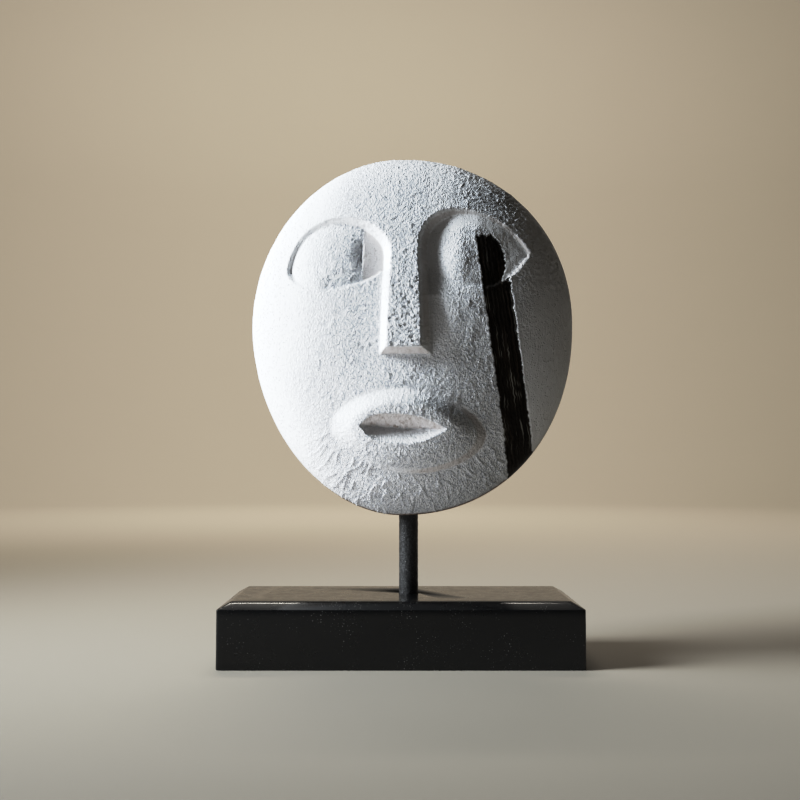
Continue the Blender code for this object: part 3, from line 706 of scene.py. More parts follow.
def paint_relief(points, parts, rough):
    """How far the paint stands up from the wood, in metres, at a scale that the mesh can carry."""
    x, z = points[:, 0] * HALF_SIZE[0] / MM, points[:, 1] * HALF_SIZE[1] / MM
    bend = 1.5 * ripple(x / 6, z / 6, 41)
    grain = 0.50 * ripple(x / 1.7, z / 1.7, 45) + 0.50 * ripple(x / 3.7, z / 3.7, 57)
    fan = fan_weight(points, parts)
    nose_top = NOSE_TOP * HALF_SIZE[1] / MM
    nose = np.where((parts["wall"] < 0.05) & (z < nose_top), ease(z, nose_top, 30.0), 0.0)
    coat = stippled_coat(x, z, bend, grain) * (1 - fan) + fan * fanned_coat(points, x, z, grain)
    coat = coat * (1 - nose) + nose_coat(x, z, bend, grain) * nose
    brushed = 0.030 * ripple(x / 1.6, z / 22, 49) + 0.02 * ripple(x / 3.0, z / 3.0, 50)
    tooled = 0.22 * ripple(x / 13, z / 15, 51) + 0.14 * ripple(x / 6, z / 7, 52)
    return MM * (rough * (coat - 0.14) + (1 - rough) * brushed + 0.5 * tooled - 0.10)


def corner_lip(points):
    """A ragged lip of paint round the right eye's outer corner, 1 on its crest and 0 off it."""
    brow = curve_points(RIGHT_BROW, 50)
    lid = curve_points(RIGHT_LID, 50)
    line = np.vstack([brow[brow[:, 0] > CORNER_LIP_FROM][::-1], lid[lid[:, 0] > LID_LIP_FROM][1:]])
    lip = np.zeros(len(points))
    near = np.all((points > line.min(axis=0) - 0.03) & (points < line.max(axis=0) + 0.03), axis=1)
    off = distance_to(points[near], line) * HALF_SIZE[0] / MM
    x, z = points[near].T
    start = np.where(z > RIGHT_CORNER[1], CORNER_LIP_FROM, LID_LIP_FROM)
    broken = ease(ripple(x * 22, z * 22, 62), -0.45, 0.25) * ease(x, start, start + 0.06)
    lip[near] = np.exp(-(((off - 0.4) / CORNER_LIP_WIDTH) ** 2)) * broken
    return lip


def paint_lips(points, parts):
    """The small lips of paint that stand along the stripe's borders and round the eye's corner."""
    width = STRIPE_WIDTH * HALF_SIZE[0] / MM
    across = parts["across"]
    outside = np.maximum(-across, across - 1) * width
    along = points[:, 1] * 18
    shown = points[:, 1] < STRIPE_START[1] + 0.03
    off_eye = 1 - parts["right_eye"] * ease(across, 0.4, 0.6)
    broken = 0.55 + 0.45 * ripple(along, outside * 0 + 0.2, 61)
    lip = np.exp(-(((outside - 0.5) / STRIPE_LIP_WIDTH) ** 2)) * (outside > -0.2) * broken
    return STRIPE_LIP_HEIGHT * lip * shown * off_eye + CORNER_LIP_HEIGHT * corner_lip(points)


def bare_and_shade_map(points, parts):
    """Where the paint is thin and the brown wood shows through, and where brown is painted in as shade.
    """
    x, z = points[:, 0], points[:, 1]
    # Under the nose and under the brow: thin paint, darkened further as painted shade.
    down = share(z, NOSE_TIP, NOSE_TIP - NOSE_UNDER_RUN)
    beside = (np.abs(x - NOSE_X) - NOSE_HALF_TIP) / NOSE_SIDE_RUN
    under_nose = ease(down, 0.02, 0.2) * (1 - ease(down, 0.97, 1.0)) * (beside < down)
    under_brow = ease(parts["wall"], 0.1, 0.4) * (1 - ease(parts["wall"], 0.75, 1.0))
    under_brow *= (x > 0) * (1 - ease(x, 0.35, 0.60)) * ease(z, NOSE_TIP, NOSE_TIP + 0.05)
    lip_wall = ease(parts["lips"], 0.86, 0.93) * (1 - ease(parts["lips"], 0.98, 1.02))
    lip_wall *= ease(x - z, 0.62, 0.95)
    rim = ease(rim_share(points), 0.985, 1.0) * ease(-z, 0.2, 0.9)
    # Beside the left ball, on the mouth's upper slope and at the right eye's corner and lid wall: brown
    # painted in as shade.
    flank = parts["left_eye"] * ease(x, LEFT_RIDGE_X, LEFT_RIDGE_X + 0.02) * (parts["wall"] > 0.98)
    in_mouth = ease(parts["mouth"], 0.02, 0.10) * parts["upper"]
    eye = parts["right_eye"]
    lid_wall = (eye > 0) * (1 - ease(eye, 0.9, 1.0)) * ease(x, 0.50, 0.60)
    corner_wall = np.maximum(lid_wall, (x > 0.50) * (eye > 0) * (parts["wall"] < 0.98))
    where = {
        "under the nose": under_nose,
        "under the brow": under_brow,
        "below the lips": lip_wall,
        "on the rim": rim,
        "beside the ball": flank,
        "in the mouth": in_mouth,
        "at the corner": corner_wall,
    }
    return np.clip(sum(BARE_WOOD_AND_SHADE[place] * there for place, there in where.items()), 0, 1)


def resampled(line, step):
    """A line of the map with its points a step apart on the wood."""
    p = line * STRETCH * HALF_SIZE[0]
    gaps = np.linalg.norm(np.diff(p, axis=0), axis=1)
    length = np.concatenate([[0], np.cumsum(gaps)])
    count = max(2, int(round(length[-1] / step)) + 1)
    at = np.linspace(0, length[-1], count)
    return np.stack([np.interp(at, length, line[:, i]) for i in (0, 1)], axis=1)


def step_in(line, run, towards):
    """A line moved sideways by run, to the side where the point towards lies."""
    p = line * STRETCH
    along = np.gradient(p, axis=0)
    along /= np.linalg.norm(along, axis=1)[:, None]
    sideways = np.stack([-along[:, 1], along[:, 0]], axis=1)
    middle = len(p) // 2
    if sideways[middle] @ (np.array(towards) * STRETCH - p[middle]) < 0:
        sideways = -sideways
    return (p + sideways * np.broadcast_to(run, len(p))[:, None]) / STRETCH


def oval(share_of_lips, count=200):
    """A line round the lips at one share of their size."""
    angle = np.arange(count + 1) * 2 * math.pi / count
    unit = np.stack([np.cos(angle), np.sin(angle)], axis=1) * np.array(LIPS_HALF)
    points = np.array(LIPS_CENTRE) + unit + np.outer(unit[:, 0], (0, LIPS_TILT))
    offset = points - np.array(LIPS_CENTRE)
    return np.array(LIPS_CENTRE) + offset * (share_of_lips / lips_share(points))[:, None]


def mouth_lines(count=90):
    """The upper edge, the lower edge and the crease of the mouth."""
    x = np.linspace(-MOUTH_HALF_WIDTH, MOUTH_HALF_WIDTH, count)
    open_share = mouth_open(MOUTH_CENTRE[0] + x)
    middle = MOUTH_CENTRE[1] + MOUTH_TILT * x
    heights = (middle + MOUTH_UPPER * open_share, middle - MOUTH_LOWER * open_share, middle)
    return [np.stack([MOUTH_CENTRE[0] + x, z], axis=1) for z in heights]


def carving_lines():
    """Every line along which the face folds, so that its edges stay crisp."""
    lines = [oval(1.0), *mouth_lines()]
    for brow, lid, side in ((RIGHT_BROW, RIGHT_LID, 1), (LEFT_BROW, LEFT_LID, -1)):
        edge = brow_and_nose_edge(brow, side)
        eye_middle = (side * RIGHT_BALL[0], RIGHT_BALL[1])
        lines.append(edge)
        lines.append(step_in(edge, wall_run(edge[:, 0]), eye_middle)[2:])
        lower = lid_line(brow, lid)
        lines.append(lower)
        lines.append(step_in(lower[:-1], LID_RUN, eye_middle)[2:])
    tip_left = (NOSE_X - NOSE_HALF_TIP, NOSE_TIP)
    tip_right = (NOSE_X + NOSE_HALF_TIP, NOSE_TIP)
    foot = np.array([NOSE_SIDE_RUN, -NOSE_UNDER_RUN])
    lines.append(straight_points(tip_left, tip_right, 6))
    lines.append(straight_points(tip_left + foot * (-1, 1), tip_right + foot, 8))
    ridge = (LEFT_RIDGE_X, LEFT_MIDDLE_Z)
    half_ridge = np.array([0, 0.85 * LEFT_HALF_HEIGHT])
    lines.append(straight_points(ridge - half_ridge, ridge + half_ridge, 10))
    return [resampled(line, FINE_STEP * 1.2) for line in lines]


def reed_points():
    """Points in rows along the stripe, close across it, so that the mesh can carry the reeds."""
    step = REED_STEP / HALF_SIZE[1]
    z = np.arange(STRIPE_START[1] + STRIPE_RAGGED, -0.9, -step)
    left, wander = stripe_left(z)
    rows = []
    for k in range(REED_LINES + 1):
        shift = step / 2 if k % 2 else 0.0
        x = left + wander + STRIPE_WIDTH * k / REED_LINES - STRIPE_LEAN * shift
        rows.append(np.stack([x, z - shift], axis=1))
    points = np.vstack(rows)
    return points[rim_share(points) < 0.985]


def map_points(lines):
    """Points between the lines on a triangular grid, twice as close where the paint is thick."""
    step = FINE_STEP / HALF_SIZE[0] * (SWELL_ALONG[1] / SWELL_OUT[1])
    row = step * math.sqrt(0.75) / STRETCH[1]
    reach_z, reach_x = int(1.2 / row), int(1.9 / step)
    j, i = np.mgrid[-reach_z:reach_z, -reach_x:reach_x]
    spots = np.stack([(i + j / 2) * step - OUTLINE_X, j * row], axis=-1).reshape(-1, 2)
    wide = ((i % 2 == 0) & (j % 2 == 0)).ravel()
    kept = rim_share(spots) < 0.992
    spots, wide = spots[kept], wide[kept]
    places = fold_up(spots)
    _, parts = face_parts(places)
    rough = roughness_map(places, parts)
    walls = (parts["wall"] > 0.0) & (parts["wall"] < 0.995)
    eye_walls = sum((parts[e] > 0.0) & (parts[e] < 0.995) for e in ("right_eye", "left_eye")) > 0
    fine = (rough > 0.12) | (walls & (np.abs(places[:, 0]) < 0.3)) | eye_walls
    fine |= corner_lip(places) > 0.05
    near_stripe = (parts["across"] > -0.01) & (parts["across"] < 1.01)
    near_stripe &= places[:, 1] < STRIPE_START[1] + STRIPE_RAGGED + 0.01
    spots = spots[(fine | wide) & ~near_stripe]
    clear = np.ones(len(spots), bool)
    for line in lines:
        low, high = line.min(axis=0) - 2 * step, line.max(axis=0) + 2 * step
        close = np.all((spots > low) & (spots < high), axis=1)
        clear[close] &= distance_to(spots[close], line) > 0.6 * step
    return spots[clear]


def in_place(places, back):
    """Points of the map as points of the mask, back metres behind its widest line."""
    x, z = (places * HALF_SIZE).T
    return np.stack([x, np.broadcast_to(back, len(x)), z + HALF_SIZE[1] + CHIN_Z], axis=1)


class Mesher:
    """Gathers the mask's points, faces and what each point and face is made of."""

    def __init__(self):
        self.points = []
        self.values = []
        self.faces = []
        self.finishes = []
        self.count = 0

    def add(self, points, values):
        """Adds points and returns their numbers."""
        start = self.count
        self.points.append(points)
        self.values.append(np.broadcast_to(values, (len(points), len(VALUE_NAMES))))
        self.count += len(points)
        return np.arange(start, self.count)

    def bridge(self, ring, new, finish):
        """Joins two rings of the same length with faces."""
        following = np.roll(np.arange(len(ring)), -1)
        quads = np.stack([ring[following], ring, new, new[following]], axis=1)
        self.faces += quads.tolist()
        self.finishes += [finish] * len(quads)


PAINT, STRIPE, WOOD = 0, 1, 2
VALUE_NAMES = ("rough", "fan", "bare_and_shade", "round_mouth", "out", "across", "upright")


def rim_count():
    """How many points the widest line has."""
    outline = outline_points(720) * HALF_SIZE
    length = np.linalg.norm(outline - np.roll(outline, 1, axis=0), axis=1).sum()
    return int(length / (FINE_STEP * 2.2))


def point_values(places, parts, rough):
    """The values that the finishes read at each point of the face."""
    round_mouth, out = fan_place(places)
    return np.stack(
        [
            rough,
            fan_weight(places, parts),
            bare_and_shade_map(places, parts),
            round_mouth,
            out,
            parts["across"] * STRIPE_WIDTH * HALF_SIZE[0],
            places[:, 1] * HALF_SIZE[1],
        ],
        axis=1,
    )


def face_normals(points, faces):
    """The average direction of the faces round each point."""
    corners = points[faces]
    normal = np.cross(corners[:, 1] - corners[:, 0], corners[:, 2] - corners[:, 0])
    total = np.zeros_like(points)
    for k in range(3):
        np.add.at(total, faces[:, k], normal)
    return total / np.maximum(np.linalg.norm(total, axis=1), 1e-12)[:, None]


def triangulated(count):
    """The face's map in triangles: its places, its faces, and its rim's points in order."""
    lines = [flatten(line) for line in carving_lines()]
    spots = [outline_points(count)]
    edges = [(i, (i + 1) % count) for i in range(count)]
    start = count
    for line in lines:
        spots.append(line)
        edges += [(i, i + 1) for i in range(start, start + len(line) - 1)]
        start += len(line)
    spots += [map_points(lines), flatten(reed_points())]
    scaled = [Vector(s) for s in np.vstack(spots) * HALF_SIZE]
    loop = [list(range(count))]
    flat, _, faces, origin, _, _ = delaunay_2d_cdt(scaled, edges, loop, 1, 1e-6)
    rim = np.zeros(count, int)
    for index, sources in enumerate(origin):
        for source in sources:
            if source < count:
                rim[source] = index
    return fold_up(np.array([tuple(v) for v in flat]) / HALF_SIZE), np.array(faces), rim


def carve_front(mesher, count):
    """The carved and painted face. It returns its rim's points in order."""
    places, faces, rim = triangulated(count)
    depth, parts = face_parts(ragged(places))
    depth[rim] = 0.0
    points = in_place(places, -depth)
    normals = face_normals(points, faces)
    if normals[:, 1].mean() > 0:
        faces = faces[:, ::-1]
        normals = -normals
    rough = roughness_map(places, parts)
    relief = paint_relief(places, parts, rough) * (1 - ease(parts["stripe"], 0.1, 0.6))
    relief += paint_lips(places, parts)
    relief *= 1 - ease(rim_share(places), 0.995, 1.0)
    points = points + normals * relief[:, None]
    mesher.add(points, point_values(places, parts, rough))
    middles = ragged(places[faces].mean(axis=1))
    across, stripe = stripe_across(middles), stripe_share(middles)
    dark = (stripe > 0.35) | ((across > 0) & (across < 0.1) & (stripe > 0))
    mesher.faces += faces.tolist()
    mesher.finishes += np.where(dark, STRIPE, PAINT).tolist()
    return rim


def carve_side(mesher, ring, count):
    """The side from the widest line back to the rounded back edge."""
    outline = outline_points(count)
    straight = MASK_SIDE - BACK_EDGE_RADIUS
    along = outline * HALF_SIZE / MM
    around = np.arctan2(along[:, 1], along[:, 0])
    raggedness = 4.0 * ripple(around * 6, around * 0, 71) + 2.0 * ripple(around * 25, around * 0, 72)
    paint_end = PAINT_RUN - PAINT_RUN_LESS * ease(-outline[:, 1], 0.55, 0.95) + raggedness
    shares = np.arange(1, int(straight / SIDE_STEP) + 1) * SIDE_STEP / straight
    steps = [(straight * t, BACK_NARROWING * t * t, 0.0) for t in shares[:-1]]
    for angle in np.linspace(0, math.pi / 2, 6):
        inward = BACK_EDGE_RADIUS * (1 - math.cos(angle))
        back = straight + BACK_EDGE_RADIUS * math.sin(angle)
        steps.append((back, BACK_NARROWING, inward))
    for back, narrowing, inward in steps:
        scale = 1 - narrowing - inward / HALF_SIZE[0]
        wave = 0.15 * ripple(around * 18, around * 0 + back / MM / 9, 73)
        wave += 0.06 * ripple(around * 60, around * 0 + back / MM / 3, 74)
        worn = (wave - SIDE_WORN)[:, None] * MM / HALF_SIZE[0]
        places = CENTRE + (outline - CENTRE) * scale * (1 + worn)
        values = np.zeros((count, len(VALUE_NAMES)))
        values[:, VALUE_NAMES.index("rough")] = 0.15
        values[:, VALUE_NAMES.index("bare_and_shade")] = ease(back / MM - paint_end, -1.5, 1.5)
        values[:, VALUE_NAMES.index("upright")] = places[:, 1] * HALF_SIZE[1]
        new = mesher.add(in_place(places, back), values)
        mesher.bridge(ring, new, PAINT)
        ring = new
    return ring


def carve_hollow(mesher, ring, count):
    """The flat rim and the hollow, left rough from the gouge."""
    edge = BACK_NARROWING * HALF_SIZE + BACK_EDGE_RADIUS + RIM_WIDTH
    top, bottom = MASK_HEIGHT - edge[1], ROD_IN_MASK + CHIN_COVER
    middle = np.array([0.0, (top + bottom) / MASK_HEIGHT - 1])
    half = np.array([HALF_SIZE[0] - edge[0], (top - bottom) / 2]) / HALF_SIZE
    depth = MASK_SIDE + MASK_RISE * (1 - RIGHT_SOCKET_DEPTH) - MASK_WALL
    angle = np.arange(count) * 2 * math.pi / count
    unit = np.stack([np.cos(angle), np.sin(angle)], axis=1)
    for k in range(HOLLOW_RINGS):
        slope = k / HOLLOW_RINGS * math.pi / 2
        places = middle + unit * half * math.cos(slope)
        x, z = (places * HALF_SIZE / MM).T
        gouged = np.abs(ripple(x / 9, z / 16, 81)) + 0.5 * np.abs(ripple(x / 5, z / 11, 82))
        back = MASK_SIDE - depth * math.sin(slope) + MM * (0.9 * gouged * ease(k, 0, 3))
        new = mesher.add(in_place(places, back), np.zeros(len(VALUE_NAMES)))
        mesher.bridge(ring, new, WOOD)
        ring = new
    pole = mesher.add(in_place(middle[None, :], MASK_SIDE - depth), np.zeros(len(VALUE_NAMES)))[0]
    following = np.roll(ring, -1)
    mesher.faces += [[int(b), int(a), int(pole)] for a, b in zip(ring, following)]
    mesher.finishes += [WOOD] * len(ring)


def add_object(name, data):
    """Puts a finished mesh into the scene, shaded smooth."""
    data.shade_smooth()
    made = bpy.data.objects.new(name, data)
    bpy.context.scene.collection.objects.link(made)
    return made


def as_data(name, mesh):
    """Turns a bmesh into mesh data and frees it."""
    data = bpy.data.meshes.new(name)
    mesh.to_mesh(data)
    mesh.free()
    return data


def loft(name, rings, closed_foot=True):
    """Mesh data through rings of points, from the first up to the last, which is closed."""
    mesh = bmesh.new()
    made = [[mesh.verts.new(point) for point in ring] for ring in rings]
    for lower, upper in zip(made[:-1], made[1:]):
        for i in range(len(lower)):
            j = (i + 1) % len(lower)
            mesh.faces.new([lower[i], lower[j], upper[j], upper[i]])
    if closed_foot:
        mesh.faces.new(made[0][::-1])
    mesh.faces.new(made[-1])
    return as_data(name, mesh)


def rod_cutter():
    """A round bar about the rod's axis, a little thicker and longer than the rod."""
    mesh = bmesh.new()
    radius = ROD_RADIUS + FIT_GAP
    length = ROD_HIGH[2] - ROD_LOW[2] + 2 * FIT_GAP
    bmesh.ops.create_cone(mesh, cap_ends=True, segments=64, radius1=radius, radius2=radius, depth=length)
    bmesh.ops.translate(mesh, verts=mesh.verts, vec=ROD_MIDDLE)
    cutter = bpy.data.objects.new("rod_cutter", as_data("rod_cutter", mesh))
    bpy.context.scene.collection.objects.link(cutter)
    return cutter


def cut_rod_hole(piece):
    """Cuts the rod's hole out of a piece and removes the cutter."""
    cutter = rod_cutter()
    cut = piece.modifiers.new("rod hole", "BOOLEAN")
    cut.operation = "DIFFERENCE"
    cut.solver = "EXACT"
    cut.object = cutter
    bpy.context.view_layer.update()
    graph = bpy.context.evaluated_depsgraph_get()
    data = bpy.data.meshes.new_from_object(piece.evaluated_get(graph), depsgraph=graph)
    piece.modifiers.clear()
    piece.data = data
    bpy.data.objects.remove(cutter, do_unlink=True)


def make_mask(finishes):
    """The whole mask as one closed mesh, on its rod and turned a little to its own right."""
    mesher = Mesher()
    count = rim_count()
    rim = carve_front(mesher, count)
    back_edge = carve_side(mesher, rim, count)
    carve_hollow(mesher, back_edge, count)
    turn = -MASK_TURN
    points = np.vstack(mesher.points)
    x, y = points[:, 0].copy(), points[:, 1].copy()
    points[:, 0] = ROD_MIDDLE[0] + MASK_ASIDE + x * math.cos(turn) - y * math.sin(turn)
    points[:, 1] = -WIDEST_LINE_AHEAD + x * math.sin(turn) + y * math.cos(turn)
    points = np.clip(points, MASK_LOW, MASK_HIGH)
    data = bpy.data.meshes.new("painted_mask")
    data.from_pydata(points.tolist(), [], mesher.faces)
    data.polygons.foreach_set("material_index", mesher.finishes)
    values = np.vstack(mesher.values)
    for k, name in enumerate(VALUE_NAMES):
        layer = data.attributes.new(name, "FLOAT", "POINT")
        layer.data.foreach_set("value", values[:, k].astype(np.float32))
    for finish in finishes:
        data.materials.append(finish)
    data.validate()
    mask = add_object("painted_mask", data)
    cut_rod_hole(mask)
    return mask


def rounded_rectangle(width, depth, radius, counts):
    """A rectangle's outline with an arc at each corner and so many points along its sides."""
    points = []
    onward = ((-1, 0), (0, -1), (1, 0), (0, 1))
    for turn, (side_x, side_y) in enumerate(((1, 1), (-1, 1), (-1, -1), (1, -1))):
        corner = []
        for k in range(7):
            angle = (turn + k / 6) * math.pi / 2
            x = side_x * (width / 2 - radius) + radius * math.cos(angle)
            y = side_y * (depth / 2 - radius) + radius * math.sin(angle)
            corner.append((x, y))
        points += corner
        run = (width if turn % 2 == 0 else depth) - 2 * radius
        count = counts[turn % 2]
        last = corner[-1]
        for k in range(1, count):
            t = k / count * run
            points.append((last[0] + onward[turn][0] * t, last[1] + onward[turn][1] * t))
    return np.array(points)


def block_levels(height, inset, drop, rounding):
    """The block's profile from its foot up, as heights and insets, with each arris rounded."""
    levels = [(0.0, rounding), (rounding * 0.3, rounding * 0.3), (rounding, 0.0)]
    wall = np.linspace(rounding, height - drop - rounding, 9)[1:]
    levels += [(z, 0.0) for z in wall]
    turn = math.pi / 2 - math.atan2(drop, inset)
    for k in range(1, 5):
        angle = k / 4 * turn
        z = height - drop - rounding + rounding * math.sin(angle)
        levels.append((z, rounding * (1 - math.cos(angle))))
    last_z, last_inset = levels[-1]
    up = 0.72
    levels.append((last_z + (height - last_z) * up, last_inset + (inset - last_inset) * up))
    levels.append((height - 0.12 * MM, inset - 0.2 * MM))
    levels += [(height, inset + further) for further in (0.6 * MM, 10.0 * MM)]
    return levels


def make_block(width, depth, height, inset, drop, rounding, finish):
    """The wooden block, with a slope round its top and softened arrises."""
    rings = []
    for z, inward in block_levels(height, inset, drop, rounding):
        outline = rounded_rectangle(width - 2 * inward, depth - 2 * inward, BLOCK_CORNER, BLOCK_POINTS)
        wobble = ripple(np.arange(len(outline)) / 6.0, np.full(len(outline), z / 0.02), 91)
        outward = outline / np.linalg.norm(outline, axis=1)[:, None]
        outline = outline - outward * (BLOCK_WOBBLE * (1 + wobble))[:, None]
        rings.append([(x + BLOCK_MIDDLE[0], y + BLOCK_MIDDLE[1], z) for x, y in outline])
    data = loft("wooden_block", rings)
    data.materials.append(finish)
    block = add_object("wooden_block", data)
    data.set_sharp_from_angle(angle=math.radians(50))
    cut_rod_hole(block)
    return block


def make_rod(hammered, finish):
    """The iron rod, a little uneven from the hammer and its paint."""
    heights = np.append(np.arange(ROD_LOW[2], ROD_HIGH[2], ROD_STEP), ROD_HIGH[2])
    angle = np.arange(ROD_SIDES) * 2 * math.pi / ROD_SIDES
    round_x, round_y = np.cos(angle) * 3.0, np.sin(angle) * 3.0
    rings = []
    for z in heights:
        near_end = min(z - ROD_LOW[2], ROD_HIGH[2] - z)
        chamfer = max(0.0, ROD_CHAMFER - near_end)
        dents = ripple(round_x + z / 0.004, round_y + z / 0.006, 95)
        grit = ripple(round_x * 3 + z / 0.0018, round_y * 3 - z / 0.0015, 96)
        r = ROD_RADIUS - chamfer - hammered * (0.5 + 0.5 * dents) - 0.35 * hammered * (0.5 + 0.5 * grit)
        x = ROD_MIDDLE[0] + r * np.cos(angle)
        y = ROD_MIDDLE[1] + r * np.sin(angle)
        rings.append([(a, b, z) for a, b in zip(x, y)])
    data = loft("iron_rod", rings)
    data.materials.append(finish)
    return add_object("iron_rod", data)


class Finish:
    """A material under making: its shader, and short ways to add and join nodes."""

    def __init__(self, name):
        self.material = bpy.data.materials.new(name)
        self.material.use_nodes = True
        self.tree = self.material.node_tree
        self.shader = self.tree.nodes["Principled BSDF"]

    def node(self, kind, **settings):
        """A node with these settings."""
        made = self.tree.nodes.new(kind)
        for key, value in settings.items():
            setattr(made, key, value)
        return made

    def feed(self, socket, source):
        """Sets a socket from a number or a colour, or joins it to another socket."""
        if isinstance(source, bpy.types.NodeSocket):
            self.tree.links.new(source, socket)
        elif isinstance(source, tuple) and len(source) == 3 and socket.type == "RGBA":
            socket.default_value = (*source, 1.0)
        else:
            socket.default_value = source

    def sum(self, operation, a, b=0.0):
        """The result of one sum."""
        made = self.node("ShaderNodeMath", operation=operation)
        for socket, source in zip(made.inputs, (a, b)):
            self.feed(socket, source)
        return made.outputs[0]

    def times(self, a, b):
        """Two values multiplied."""
        return self.sum("MULTIPLY", a, b)

    def total(self, *parts):
        """The sum of several values, each with its weight."""
        made = self.times(*parts[0])
        for source, weight in parts[1:]:
            made = self.sum("ADD", made, self.times(source, weight))
        return made

    def value(self, name):
        """One of the mesh's own values."""
        return self.node("ShaderNodeAttribute", attribute_name=name).outputs["Fac"]

    def place(self, x, y, z=0.0):
        """Three sums as one place."""
        made = self.node("ShaderNodeCombineXYZ")
        for socket, source in zip(made.inputs, (x, y, z)):
            self.feed(socket, source)
        return made.outputs[0]

    def object_place(self):
        """The place on the object, in metres."""
        return self.node("ShaderNodeTexCoord").outputs["Object"]

    def scaled(self, place, scale, turn=(0.0, 0.0, 0.0)):
        """A place scaled along each axis and turned."""
        made = self.node("ShaderNodeMapping")
        self.feed(made.inputs["Vector"], place)
        made.inputs["Scale"].default_value = scale
        made.inputs["Rotation"].default_value = turn
        return made.outputs[0]

    def noise(self, place, scale, detail=2.0, roughness=0.5, distortion=0.0):
        """Random waves between 0 and 1."""
        made = self.node("ShaderNodeTexNoise")
        self.feed(made.inputs["Vector"], place)
        made.inputs["Scale"].default_value = scale
        made.inputs["Detail"].default_value = detail
        made.inputs["Roughness"].default_value = roughness
        made.inputs["Distortion"].default_value = distortion
        return made.outputs["Fac"]

    def cells(self, place, scale):
        """Small peaks of random sizes, 1 at the top of each and 0 between them."""
        made = self.node("ShaderNodeTexVoronoi")
        self.feed(made.inputs["Vector"], place)
        made.inputs["Scale"].default_value = scale
        return self.spread(made.outputs["Distance"], 0.05, 0.75, 1.0, 0.0)

    def spread(self, source, low, high, to_low=0.0, to_high=1.0):
        """A value carried from one range to another, smoothly and held at its ends."""
        made = self.node("ShaderNodeMapRange", interpolation_type="SMOOTHSTEP")
        names = ("Value", "From Min", "From Max", "To Min", "To Max")
        for name, number in zip(names, (source, low, high, to_low, to_high)):
            self.feed(made.inputs[name], number)
        return made.outputs[0]

    def strings(self, wave, thickness):
        """Rounded strings along the middle of a wave: 1 on a string and 0 between."""
        off = self.sum("ABSOLUTE", self.sum("SUBTRACT", wave, 0.5))
        return self.spread(off, 0.0, thickness, 1.0, 0.0)

    def mixed(self, share_of_b, a, b):
        """One colour going over into another."""
        made = self.node("ShaderNodeMix", data_type="RGBA")
        self.feed(made.inputs[0], share_of_b)
        self.feed(made.inputs[6], a)
        self.feed(made.inputs[7], b)
        return made.outputs[2]

    def blended(self, share_of_b, a, b):
        """One number going over into another."""
        made = self.node("ShaderNodeMix", data_type="FLOAT")
        for index, source in zip((0, 2, 3), (share_of_b, a, b)):
            self.feed(made.inputs[index], source)
        return made.outputs[0]

    def raise_by(self, height, distance, strength=1.0):
        """Lets a height between 0 and 1 show as relief, distance metres high."""
        made = self.node("ShaderNodeBump")
        made.inputs["Strength"].default_value = strength
        made.inputs["Distance"].default_value = distance
        self.feed(made.inputs["Height"], height)
        self.feed(self.shader.inputs["Normal"], made.outputs[0])

    def paint(self, colour, roughness, specular=0.5):
        """Sets the shader's colour, roughness and gloss."""
        self.feed(self.shader.inputs["Base Color"], colour)
        self.feed(self.shader.inputs["Roughness"], roughness)
        self.shader.inputs["Specular IOR Level"].default_value = specular


def dyed(colour, *shares):
    """A colour made darker or lighter, by one share of it or by one for each of its parts."""
    return tuple(c * share_of for c, share_of in zip(colour, shares * (3 // len(shares))))


def threads_of_paint(f, at):
    """Thin strings of paint that cross each other in patches, and fan out round the mouth."""
    leaning = []
    for lean, size in ((0.45, 420), (-0.5, 380)):
        waves = f.noise(f.scaled(at, (1.0, 0.7, 0.5), (0.0, lean, 0.0)), size, 1.0, 0.5, 0.6)
        leaning.append(f.strings(waves, 0.05))
    either = f.blended(f.spread(f.noise(at, 75, 1.0), 0.42, 0.58), *leaning)
    patchy = f.times(either, f.spread(f.noise(at, 110, 1.0), 0.45, 0.6))
    fanned = f.place(f.value("round_mouth"), f.times(f.value("out"), 0.2))
    strokes = f.strings(f.noise(fanned, 460, 1.0, 0.5, 0.4), 0.06)
    return f.blended(f.value("fan"), patchy, strokes)


def coat_of_paint(f, at, rough):
    """Raises the coat: stippled where it is rough, else brushed out. It returns its low places, where
    shade is painted in.
    """
    grains = f.noise(at, 900, 3.0, 0.8)
    clots = f.noise(at, 560, 2.0, 0.7)
    pits = f.spread(f.noise(f.scaled(at, (1.0, 0.7, 0.8)), 700, 1.0, 0.6), 0.42, 0.34)
    peaks = f.cells(f.scaled(at, (1.0, 0.6, 0.8)), 760)
    threads = threads_of_paint(f, at)
    thick = f.total((grains, 0.75), (clots, 0.35), (threads, 0.07), (peaks, 0.30), (pits, -0.30))
    brushed = f.noise(f.scaled(at, (1.0, 0.6, 0.045)), 1100, 2.0, 0.6)
    specks = f.spread(f.noise(at, 900, 0.0), 0.68, 0.80)
    smooth = f.total((brushed, 0.12), (specks, 0.30), (grains, 0.13))
    f.raise_by(f.blended(rough, smooth, thick), 1.7 * MM)
    return f.times(rough, f.sum("MAXIMUM", pits, f.spread(thick, 0.70, 0.50)))


